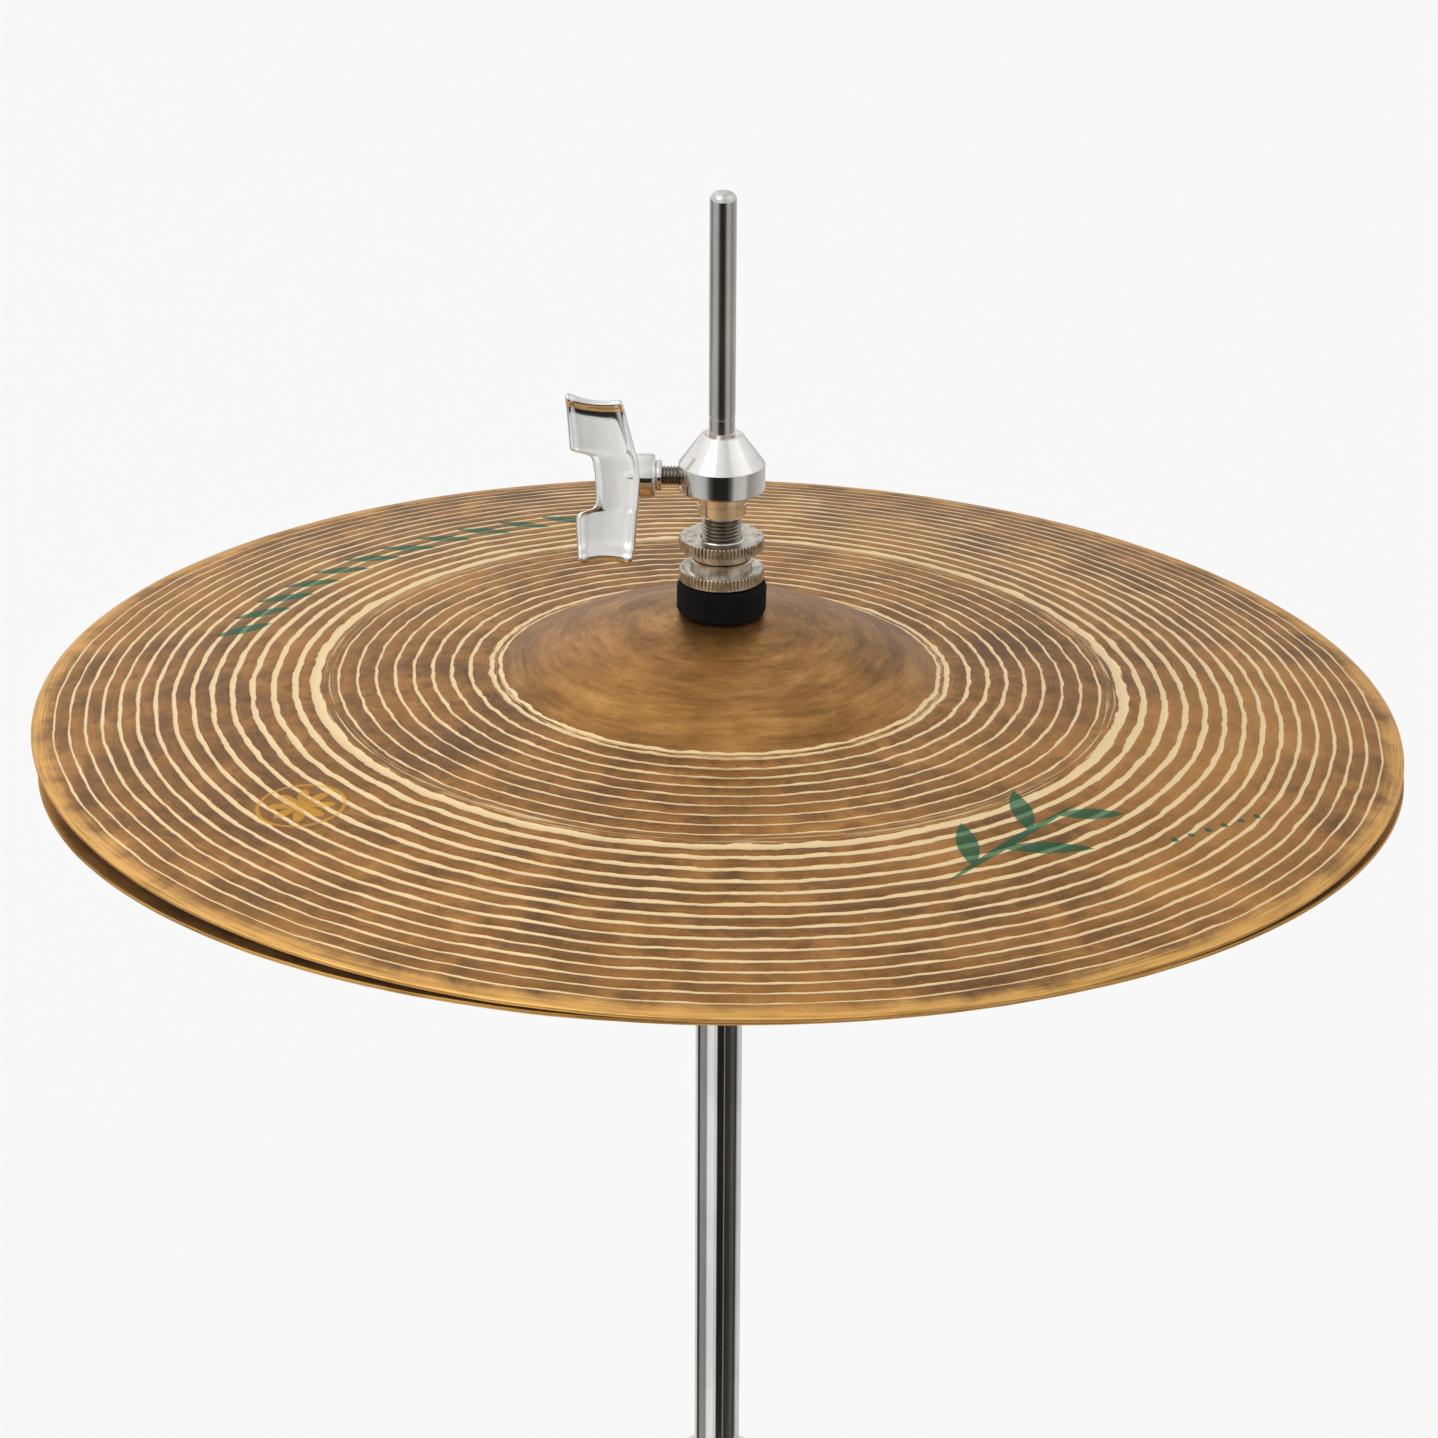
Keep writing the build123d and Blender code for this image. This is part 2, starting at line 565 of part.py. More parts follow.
COLLAR_LOW = LEG_PIVOT_Z - 14.0
COLLAR_HIGH = LEG_PIVOT_Z + 12.0
COLLAR_R = 16.0
leg_bolt_frame = Plane(origin=(0, 0, LEG_PIVOT_Z), x_dir=(0, 0, 1), z_dir=(0, -1, 0))

with BuildPart() as leg_collar:
    with BuildSketch(Plane.XY.offset(COLLAR_LOW)):
        Circle(COLLAR_R)
    extrude(amount=COLLAR_HIGH - COLLAR_LOW)
    for azimuth in LEG_AZIMUTHS.values():
        with BuildSketch(arm_plane(azimuth, -LUG_T / 2)):
            with Locations((LEG_PIVOT_R, LEG_PIVOT_Z)):
                Circle(LUG_R)
            with Locations(((LEG_PIVOT_R + 8) / 2, LEG_PIVOT_Z)):
                Rectangle(LEG_PIVOT_R - 8, 2 * LUG_R)
        extrude(amount=LUG_T)
    with BuildSketch(leg_bolt_frame.offset(12)):
        Circle(6.5)
    extrude(amount=10)
    with BuildSketch(Plane.XY.offset(COLLAR_LOW)):
        Circle(OUTER_TUBE_R + SLIDE_FIT)
    extrude(amount=COLLAR_HIGH - COLLAR_LOW, mode=Mode.SUBTRACT)
    for azimuth in LEG_AZIMUTHS.values():
        with BuildSketch(arm_plane(azimuth, -LUG_T / 2)):
            with Locations((LEG_PIVOT_R, LEG_PIVOT_Z)):
                Circle(PIVOT_R + 0.02)
        extrude(amount=LUG_T, mode=Mode.SUBTRACT)
    with BuildSketch(leg_bolt_frame):
        Circle(3.0 + SLIDE_FIT)
    extrude(amount=23, mode=Mode.SUBTRACT)
save(leg_collar.part, "leg_collar")
save(wing_bolt(leg_bolt_frame, OUTER_TUBE_R + 0.4, 22.8), "collar_wing_bolt")

pin_half = strap_in + STRAP_T + 0.15
save(Compound(children=[pivot_pin(azimuth, LEG_PIVOT_Z, pin_half) for azimuth in LEG_AZIMUTHS.values()]),
     "leg_pivot_pins")

# ---- base: hub, posts, floor plate ----
HUB_LOW = 140.0
HUB_HIGH = 190.0
HUB_R = 16.5
EAR_T = 3.0
POST_X = 34.0
ear_in = LUG_T / 2 + 0.4

with BuildPart() as base_hub:
    with BuildSketch(Plane.XY.offset(HUB_LOW)):
        Circle(HUB_R)
    extrude(amount=HUB_HIGH - HUB_LOW)
    with BuildSketch(Plane.XY.offset(HUB_LOW)):
        RectangleRounded(2 * POST_X + 16, 24, 5)
    extrude(amount=10)
    for azimuth in LEG_AZIMUTHS.values():
        for offset in (ear_in, -ear_in - EAR_T):
            with BuildSketch(arm_plane(azimuth, offset)):
                with Locations((LEG_PIVOT_R, BRACE_PIVOT_Z)):
                    Circle(LUG_R)
                with Locations(((LEG_PIVOT_R + 10) / 2, BRACE_PIVOT_Z)):
                    Rectangle(LEG_PIVOT_R - 10, 2 * LUG_R)
            extrude(amount=EAR_T)
    with BuildSketch(Plane.XY.offset(OUTER_TUBE_BOTTOM_Z)):
        Circle(OUTER_TUBE_R + 0.03)
    extrude(amount=HUB_HIGH - OUTER_TUBE_BOTTOM_Z, mode=Mode.SUBTRACT)
    with BuildSketch(Plane.XY.offset(HUB_LOW)):
        Circle(OUTER_TUBE_BORE_R)
    extrude(amount=OUTER_TUBE_BOTTOM_Z - HUB_LOW, mode=Mode.SUBTRACT)
    for azimuth in LEG_AZIMUTHS.values():
        with BuildSketch(arm_plane(azimuth, -12)):
            with Locations((LEG_PIVOT_R, BRACE_PIVOT_Z)):
                Circle(PIVOT_R + 0.02)
        extrude(amount=24, mode=Mode.SUBTRACT)
save(base_hub.part, "base_hub")
save(Compound(children=[pivot_pin(azimuth, BRACE_PIVOT_Z, ear_in + EAR_T + 0.1)
                        for azimuth in LEG_AZIMUTHS.values()]), "brace_pivot_pins")

plate_top = FLOOR_PLATE_Z + FLOOR_PLATE_T
posts = []
for x_post in (-POST_X, POST_X):
    with BuildPart() as post:
        with BuildSketch(Plane.XY.offset(plate_top)):
            with Locations((x_post, 0)):
                RectangleRounded(9, 18, 2.5)
        extrude(amount=HUB_LOW - plate_top)
    posts.append(post.part)
save(Compound(children=posts), "base_posts")

RADIUS_ROD_X = 29.0
RADIUS_ROD_R = 2.5
RADIUS_ROD_Z = FLOOR_PLATE_Z + FLOOR_PLATE_T / 2
PLATE_HALF_X = 46.0
PLATE_HALF_Y = 32.0
HEEL_FRONT_Y = -312.0
HEEL_LENGTH = 78.0


def rod_bars(y_low, y_high, radius):
    """Two round bars along Y where the radius rods run."""
    bars = []
    for x_rod in (-RADIUS_ROD_X, RADIUS_ROD_X):
        with BuildPart() as rod_bar:
            with BuildSketch(Plane.XZ.offset(-y_high)):
                with Locations((x_rod, RADIUS_ROD_Z)):
                    Circle(radius)
            extrude(amount=y_high - y_low)
        bars.append(rod_bar.part)
    return bars


base_sockets = rod_bars(-PLATE_HALF_Y - 1, -PLATE_HALF_Y + 12, RADIUS_ROD_R + 0.03)
with BuildPart() as base_plate:
    with BuildSketch(Plane.XY.offset(FLOOR_PLATE_Z)):
        RectangleRounded(2 * PLATE_HALF_X, 2 * PLATE_HALF_Y, 10)
    extrude(amount=FLOOR_PLATE_T)
    add(base_sockets, mode=Mode.SUBTRACT)
save(base_plate.part, "base_plate")

with BuildPart() as base_pad:
    with BuildSketch():
        RectangleRounded(2 * PLATE_HALF_X, 2 * PLATE_HALF_Y, 10)
    extrude(amount=FLOOR_PLATE_Z)
save(base_pad.part, "base_pad")

save(Compound(children=rod_bars(HEEL_FRONT_Y - 11, -PLATE_HALF_Y + 11, RADIUS_ROD_R)), "radius_rods")

# ---- pedal ----
HEEL_HALF = 42.0
KNUCKLE_R = 6.5
HINGE_PIN_R = 3.0
LUG_IN = 27.0
LUG_OUT = 34.0
heel_mid_y = HEEL_FRONT_Y - HEEL_LENGTH / 2
heel_sockets = rod_bars(HEEL_FRONT_Y - 12, HEEL_FRONT_Y + 1, RADIUS_ROD_R + 0.03)

with BuildPart() as heel_plate:
    with BuildSketch(Plane.XY.offset(FLOOR_PLATE_Z)):
        with Locations((0, heel_mid_y)):
            RectangleRounded(2 * HEEL_HALF, HEEL_LENGTH, 12)
    extrude(amount=FLOOR_PLATE_T)
    for x_low in (LUG_IN, -LUG_OUT):
        with BuildSketch(Plane.YZ.offset(x_low)):
            with Locations((PEDAL_AXIS_Y, PEDAL_AXIS_Z)):
                Circle(KNUCKLE_R)
            with BuildLine():
                Polyline((PEDAL_AXIS_Y - KNUCKLE_R - 14, plate_top - 1), (PEDAL_AXIS_Y + KNUCKLE_R, plate_top - 1),
                         (PEDAL_AXIS_Y + KNUCKLE_R, PEDAL_AXIS_Z), (PEDAL_AXIS_Y - KNUCKLE_R, PEDAL_AXIS_Z),
                         close=True)
            make_face()
        extrude(amount=LUG_OUT - LUG_IN)
    add(heel_sockets, mode=Mode.SUBTRACT)
    with BuildSketch(Plane.YZ.offset(-LUG_OUT)):
        with Locations((PEDAL_AXIS_Y, PEDAL_AXIS_Z)):
            Circle(HINGE_PIN_R + 0.02)
    extrude(amount=2 * LUG_OUT, mode=Mode.SUBTRACT)
save(heel_plate.part, "heel_plate")

with BuildPart() as heel_pad:
    with BuildSketch():
        with Locations((0, heel_mid_y)):
            RectangleRounded(2 * HEEL_HALF, HEEL_LENGTH, 12)
    extrude(amount=FLOOR_PLATE_Z)
save(heel_pad.part, "heel_pad")

with BuildPart() as heel_hinge_pin:
    with BuildSketch(Plane.YZ.offset(-LUG_OUT - 1)):
        with Locations((PEDAL_AXIS_Y, PEDAL_AXIS_Z)):
            Circle(HINGE_PIN_R)
    extrude(amount=2 * LUG_OUT + 2)
    for x_low in (-LUG_OUT - 3, LUG_OUT + 1):
        with BuildSketch(Plane.YZ.offset(x_low)):
            with Locations((PEDAL_AXIS_Y, PEDAL_AXIS_Z)):
                Circle(HINGE_PIN_R + 1.5)
        extrude(amount=2)
save(heel_hinge_pin.part, "heel_hinge_pin")

pedal_axis = Vector(0, PEDAL_AXIS_Y, PEDAL_AXIS_Z)
BOARD = Plane(origin=pedal_axis, x_dir=(1, 0, 0),
              z_dir=(0, -sin(radians(PEDAL_ANGLE)), cos(radians(PEDAL_ANGLE))))
TOE_PIN_U = BOARD.to_local_coords(Vector(0, 0, TOE_PIN_Z)).Y
BOARD_END = 272.0
BOARD_LOW = 2.0
BOARD_T = 5.0

with BuildPart() as footboard:
    with BuildSketch(BOARD.offset(BOARD_LOW)):
        with BuildLine():
            Polyline((-25, 0), (25, 0), (25, 14), (38, 26), (42, 90), (40, 200), (31, BOARD_END - 10),
                     (22, BOARD_END), (-22, BOARD_END), (-31, BOARD_END - 10), (-40, 200), (-42, 90),
                     (-38, 26), (-25, 14), close=True)
        make_face()
    extrude(amount=BOARD_T)
    with BuildSketch(Plane.YZ.offset(-25)):
        with Locations((PEDAL_AXIS_Y, PEDAL_AXIS_Z)):
            Circle(KNUCKLE_R)
    extrude(amount=50)
    with BuildSketch(BOARD.offset(BOARD_LOW + BOARD_T)):
        with Locations((0, 130)):
            with GridLocations(0, 16, 1, 11):
                SlotOverall(58, 6)
    extrude(amount=1.2)
    with BuildSketch(Plane.YZ.offset(-26)):
        with Locations((PEDAL_AXIS_Y, PEDAL_AXIS_Z)):
            Circle(HINGE_PIN_R + 0.05)
    extrude(amount=52, mode=Mode.SUBTRACT)
save(footboard.part, "footboard")

with BuildPart() as toe_bracket:
    with BuildSketch(BOARD.offset(-8)):
        with Locations((0, BOARD_END - 20)):
            Rectangle(18, 44)
    extrude(amount=BOARD_LOW + 8)
    for x_low in (5.5, -8.5):
        with BuildSketch(Plane.YZ.offset(x_low)):
            with BuildLine():
                start = BOARD.from_local_coords(Vector(0, BOARD_END + 0.3, -8))
                top = BOARD.from_local_coords(Vector(0, BOARD_END + 0.3, BOARD_LOW))
                nose_top = BOARD.from_local_coords(Vector(0, TOE_PIN_U, 6))
                nose_low = BOARD.from_local_coords(Vector(0, TOE_PIN_U, -6))
                Polyline((start.Y, start.Z), (nose_low.Y, nose_low.Z), (nose_top.Y, nose_top.Z),
                         (top.Y, top.Z), close=True)
            make_face()
            with Locations((0, TOE_PIN_Z)):
                Circle(5.9)
        extrude(amount=3)
    with BuildSketch(Plane.YZ.offset(-9)):
        with Locations((0, TOE_PIN_Z)):
            Circle(2.02)
    extrude(amount=18, mode=Mode.SUBTRACT)
save(toe_bracket.part, "toe_bracket")

with BuildPart() as toe_pin:
    with BuildSketch(Plane.YZ.offset(-9.5)):
        with Locations((0, TOE_PIN_Z)):
            Circle(2.0)
    extrude(amount=19)
save(toe_pin.part, "toe_pin")

# ---- fold of the tripod, for the reader: angles in degrees at the top of the collar's travel ----
COLLAR_TRAVEL = 140.0
brace_length = hypot(brace_end[0] - LEG_PIVOT_R, brace_end[1] - BRACE_PIVOT_Z)
rise = LEG_PIVOT_Z - BRACE_PIVOT_Z


def triangle_angle(near, other, opposite):
    """Angle between two sides of a triangle, in degrees."""
    return degrees(acos((near ** 2 + other ** 2 - opposite ** 2) / (2 * near * other)))


leg_fold = triangle_angle(BRACE_JOINT, rise, brace_length) - triangle_angle(
    BRACE_JOINT, rise + COLLAR_TRAVEL, brace_length)
brace_fold = triangle_angle(brace_length, rise, BRACE_JOINT) - triangle_angle(
    brace_length, rise + COLLAR_TRAVEL, BRACE_JOINT)
print(f"tripod fold over {COLLAR_TRAVEL} mm: leg {leg_fold:.3f} deg, brace {brace_fold:.3f} deg")
print(f"toe pin {TOE_PIN_U:.2f} mm from the pedal axis")
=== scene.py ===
import random
from math import atan2, cos, hypot, pi, radians, sin

import bmesh
import bpy
from mathutils import Matrix, Vector


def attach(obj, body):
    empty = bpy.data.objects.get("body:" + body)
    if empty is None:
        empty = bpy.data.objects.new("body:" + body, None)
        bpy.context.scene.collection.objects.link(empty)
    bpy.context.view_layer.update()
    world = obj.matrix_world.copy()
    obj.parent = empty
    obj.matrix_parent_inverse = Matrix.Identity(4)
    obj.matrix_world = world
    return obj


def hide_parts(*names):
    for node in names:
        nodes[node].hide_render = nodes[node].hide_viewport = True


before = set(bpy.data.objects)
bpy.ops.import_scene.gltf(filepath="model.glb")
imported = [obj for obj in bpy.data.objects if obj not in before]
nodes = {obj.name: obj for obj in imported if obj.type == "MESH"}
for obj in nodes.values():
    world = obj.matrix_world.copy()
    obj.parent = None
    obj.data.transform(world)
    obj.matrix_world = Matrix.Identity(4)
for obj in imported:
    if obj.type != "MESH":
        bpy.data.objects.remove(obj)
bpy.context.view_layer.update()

# ---- the object's own sizes, in metres ----
MM = 0.001
RIM_Z = 0.850                  # rim of the top cymbal above the floor
CYMBAL_R = 0.1778
CYMBAL_T = 0.0011
BELL_R = 0.0575
BOW_RISE = 0.0119
BELL_TOP = 0.0263
HOLE_R = 0.00625
TOP_TILT = radians(1.1)
SEAT_TILT = radians(2.65)
SEAT_HIGH_SIDE = radians(264.0)
SEAT_PIVOT_Z = 0.7967
CLOSED_GAP = 0.0089
SCREW_Z = RIM_Z + 0.0635       # axis of the clutch's wing screw

hole_mid = BELL_TOP - CYMBAL_T / 2
top_normal = Vector((sin(TOP_TILT), 0, cos(TOP_TILT)))
top_centre = Vector((0, 0, RIM_Z + hole_mid)) - top_normal * hole_mid
seat_normal = Vector((
    -sin(SEAT_TILT) * cos(SEAT_HIGH_SIDE), -sin(SEAT_TILT) * sin(SEAT_HIGH_SIDE), cos(SEAT_TILT)))
seat_pivot = Vector((0, 0, SEAT_PIVOT_Z))
bottom_centre = seat_pivot + seat_normal * (RIM_Z - SEAT_PIVOT_Z - 2 * CYMBAL_T - CLOSED_GAP)


def frame_matrix(centre, axis, side=Vector((1, 0, 0))):
    """Local to world matrix of a frame whose Z is the axis and whose X leans towards side."""
    across = axis.cross(side).normalized()
    along = across.cross(axis)
    return Matrix.Translation(centre) @ Matrix((along, across, axis)).transposed().to_4x4()


TOP = frame_matrix(top_centre, top_normal)
BOTTOM = frame_matrix(bottom_centre, -seat_normal)
RIM = Matrix.Translation((0, 0, RIM_Z))


# ---- node sheets: one small class for values, one for the material ----
class Value:
    """A number socket that takes part in Python expressions."""

    def __init__(self, sheet, socket):
        self.sheet = sheet
        self.socket = socket

    def maths(self, operation, *others, clamp=False):
        made = self.sheet.node("ShaderNodeMath", {"operation": operation, "use_clamp": clamp},
                               dict(enumerate((self,) + others)))
        return Value(self.sheet, made.outputs[0])

    def __add__(self, other):
        return self.maths("ADD", other)

    __radd__ = __add__

    def __sub__(self, other):
        return self.maths("SUBTRACT", other)

    def __rsub__(self, other):
        return (self * -1.0) + other

    def __mul__(self, other):
        return self.maths("MULTIPLY", other)

    __rmul__ = __mul__

    def __truediv__(self, other):
        return self.maths("DIVIDE", other)

    def __pow__(self, other):
        return self.maths("POWER", other)

    def size(self):
        return self.maths("ABSOLUTE")

    def clamped(self):
        return self.maths("ADD", 0.0, clamp=True)

    def most(self, other):
        return self.maths("MAXIMUM", other)



class Sheet:
    """The node tree of one material."""

    def __init__(self, name, metallic=0.0, roughness=0.5, **constants):
        self.material = bpy.data.materials.new(name)
        self.material.use_nodes = True
        self.tree = self.material.node_tree
        self.shader = self.tree.nodes["Principled BSDF"]
        self.shader.inputs["Metallic"].default_value = metallic
        self.shader.inputs["Roughness"].default_value = roughness
        for socket, value in constants.items():
            self.shader.inputs[socket.replace("_", " ")].default_value = value
        self.place = self.node("ShaderNodeTexCoord", {}, {}).outputs["Object"]

    def node(self, kind, settings, sockets):
        made = self.tree.nodes.new(kind)
        for setting, value in settings.items():
            setattr(made, setting, value)
        for socket, value in sockets.items():
            self.feed(made.inputs[socket], value)
        return made

    def feed(self, socket, value):
        if isinstance(value, Value):
            value = value.socket
        if isinstance(value, bpy.types.NodeSocket):
            self.tree.links.new(value, socket)
        else:
            socket.default_value = value

    def mapped(self, matrix, scale=(1000.0, 1000.0, 1000.0)):
        """Object coordinates seen from a piece's own frame, in millimetres by default."""
        inverse = matrix.inverted()
        turn = inverse.to_3x3()
        shift = inverse.translation * scale[0]
        return self.node("ShaderNodeMapping", {}, {
            "Vector": self.place, "Scale": scale, "Rotation": turn.to_euler(), "Location": shift}).outputs[0]

    def split(self, vector):
        parts = self.node("ShaderNodeSeparateXYZ", {}, {0: vector}).outputs
        return [Value(self, part) for part in parts]

    def join(self, x, y, z):
        return self.node("ShaderNodeCombineXYZ", {}, {0: x, 1: y, 2: z}).outputs[0]

    def noise(self, vector, scale, detail=2.0, roughness=0.5, distortion=0.0):
        made = self.node("ShaderNodeTexNoise", {}, {
            "Vector": vector, "Scale": scale, "Detail": detail, "Roughness": roughness,
            "Distortion": distortion})
        return Value(self, made.outputs["Fac"])

    def steps(self, value, low, high):
        """0 below low, 1 above high, smooth between."""
        made = self.node("ShaderNodeMapRange", {"interpolation_type": "SMOOTHSTEP"}, {
            "Value": value, "From Min": low, "From Max": high})
        return Value(self, made.outputs[0])

    def blend(self, factor, first, second):
        """A colour between two colours."""
        made = self.node("ShaderNodeMix", {"data_type": "RGBA"}, {0: factor, 6: first, 7: second})
        return made.outputs[2]

    def ramp(self, factor, *stops):
        made = self.node("ShaderNodeValToRGB", {}, {0: factor})
        elements = made.color_ramp.elements
        while len(elements) < len(stops):
            elements.new(0.5)
        for element, (position, colour) in zip(elements, stops):
            element.position = position
            element.color = colour
        return made.outputs[0]

    def relief(self, height, distance, strength=1.0):
        bump = self.node("ShaderNodeBump", {}, {"Height": height, "Distance": distance, "Strength": strength})
        self.feed(self.shader.inputs["Normal"], bump.outputs[0])

    def paint(self, **sockets):
        for socket, value in sockets.items():
            self.feed(self.shader.inputs[socket.replace("_", " ")], value)


def shade(red, green, blue):
    """An opaque colour from everyday 0 to 255 values."""
    linear = [((c / 255 + 0.055) / 1.055) ** 2.4 if c > 10 else c / 255 / 12.92 for c in (red, green, blue)]
    return (*linear, 1.0)


# ---- finishes ----
OUTER_CUTS = 14                # from the rim inwards, each pitch and width a little larger than the last
FIRST_CUT_R = 172.0            # radii, pitches and half widths of the cuts are in millimetres
FIRST_PITCH = 3.97
PITCH_GROWTH = 0.13
INNER_CUTS = 8                 # evenly spaced between the broad cut and the bell
INNER_CUT_R = 99.2
INNER_PITCH = 4.88
BROAD_CUT = (105.1, 1.45)
BELL_CUTS = ((59.5, 0.75), (57.2, 0.60))


def lathe_cuts():
    """Radius and half width of each cut."""
    cuts = []
    radius = FIRST_CUT_R
    for count in range(OUTER_CUTS):
        cuts.append((radius, 0.40 + 0.045 * count))
        radius -= FIRST_PITCH + PITCH_GROWTH * count
    cuts.append(BROAD_CUT)
    cuts += [(INNER_CUT_R - INNER_PITCH * count, 0.45 + 0.03 * count) for count in range(INNER_CUTS)]
    cuts += BELL_CUTS
    return cuts


LATHE_CUTS = lathe_cuts()


def bronze(name, matrix, marks):
    """Aged hand-hammered bronze with bright lathe cuts, about the cymbal's own axis."""
    sheet = Sheet(name, metallic=0.85, roughness=0.42)
    place = sheet.mapped(matrix)
    x, y, _ = sheet.split(place)
    radius = (x * x + y * y) ** 0.5
    out_x = x / radius
    out_y = y / radius

    def turned_noise(round_scale, radial_scale, detail=2.0, roughness=0.5):
        """Noise drawn out along the circles of the lathe."""
        place_on_lathe = sheet.join(out_x * round_scale, out_y * round_scale, radius * radial_scale)
        return sheet.noise(place_on_lathe, 1.0, detail=detail, roughness=roughness)

    # wavy edge of the cuts, as the tool rides over the hammer marks
    wave = turned_noise(10.0, 0.03) - 0.5
    ragged = turned_noise(60.0, 0.2, detail=4.0, roughness=0.7) - 0.5
    swelling = turned_noise(11.0, 0.35, detail=3.0, roughness=0.6) - 0.5
    wandering = radius + wave * 1.5 + ragged * 0.35
    cuts = None
    for cut_radius, half in LATHE_CUTS:
        gap = (wandering - cut_radius).size()
        cut = (half - gap + swelling * (1.7 * half)) * 4.0
        cut = cut.clamped()
        cuts = cut if cuts is None else cuts.most(cut)
    # split strands and fine scratches beside the broad cut and round the bell
    scratch = turned_noise(3.0, 2.4, detail=4.0, roughness=0.65)
    beside = sheet.steps((radius - 103.0).size() * -1.0, -3.6, -0.8).most(
        sheet.steps((radius - 58.6).size() * -1.0, -2.6, -0.6))
    cuts = cuts.most(sheet.steps(scratch, 0.53, 0.60) * beside * 0.85)
    # mottled patina, darker where the hammer fell
    blotches = sheet.noise(place, 0.060, detail=5.0, roughness=0.60, distortion=0.3)
    dents = turned_noise(15.0, 0.19)
    dent_rows = sheet.noise(sheet.join(out_x * 22.0, out_y * 22.0, radius * 0.16 + 40.0), 1.0, detail=2.0)
    streak = turned_noise(7.0, 1.6, detail=4.0, roughness=0.65)
    grain = sheet.noise(place, 1.0, detail=4.0, roughness=0.75)
    warmth = sheet.noise(place, 0.011, detail=2.0)
    tone = blotches * 0.55 + streak * 0.20 + grain * 0.15 + warmth * 0.10
    patina = sheet.ramp(tone, (0.38, shade(112, 78, 46)), (0.46, shade(141, 97, 50)),
                        (0.53, shade(163, 113, 57)), (0.62, shade(186, 133, 72)))
    bruise = (sheet.steps(dents, 0.54, 0.66) + sheet.steps(dent_rows, 0.58, 0.70) * 0.8).clamped()
    bruise = bruise * (sheet.steps(grain, 0.25, 0.60) * 0.45 + 0.55)
    patina = sheet.blend(bruise * 0.50, patina, shade(100, 70, 48))
    speckle = sheet.steps(grain, 0.56, 0.74)
    patina = sheet.blend(speckle * 0.35, patina, shade(204, 158, 96))
    gilded = sheet.steps(warmth, 0.46, 0.66) * sheet.steps(radius, 60.0, 120.0)
    patina = sheet.blend(gilded * 0.40, patina, shade(204, 146, 70))
    bell_zone = sheet.steps(radius * -1.0, -57.5, -54.0)
    swirl = turned_noise(1.6, 0.20, detail=6.0, roughness=0.68)
    fine_swirl = turned_noise(5.0, 1.1, detail=4.0, roughness=0.7)
    bell_tone = sheet.ramp(swirl * 0.50 + blotches * 0.30 + fine_swirl * 0.20,
                           (0.38, shade(118, 82, 42)), (0.47, shade(150, 106, 56)),
                           (0.54, shade(170, 123, 67)), (0.64, shade(198, 148, 90)))
    patina = sheet.blend(bell_zone, patina, bell_tone)
    rim_zone = sheet.steps(radius + (blotches - 0.5) * 11.0, 171.5, 177.0)
    brushed = sheet.steps(streak, 0.30, 0.60)
    patina = sheet.blend(rim_zone * (brushed * 0.7 + 0.3) * 0.85, patina, shade(240, 188, 108))
    colour = sheet.blend(cuts, patina, shade(246, 218, 166))
    colour = marks(sheet, x, y, radius, out_x, out_y, colour, cuts)
    sheet.paint(Base_Color=colour, Roughness=0.46 - cuts * 0.08 + (grain - 0.5) * 0.25 - bell_zone * 0.06,
                Metallic=0.88 - cuts * 0.12)
    sheet.relief(grain * 0.25 + streak * 0.3 - cuts * 0.6 + dents * 0.7, 0.00025, 0.55)
    return sheet.material


def plain_marks(sheet, x, y, radius, out_x, out_y, colour, cuts):
    """No decoration."""
    return colour


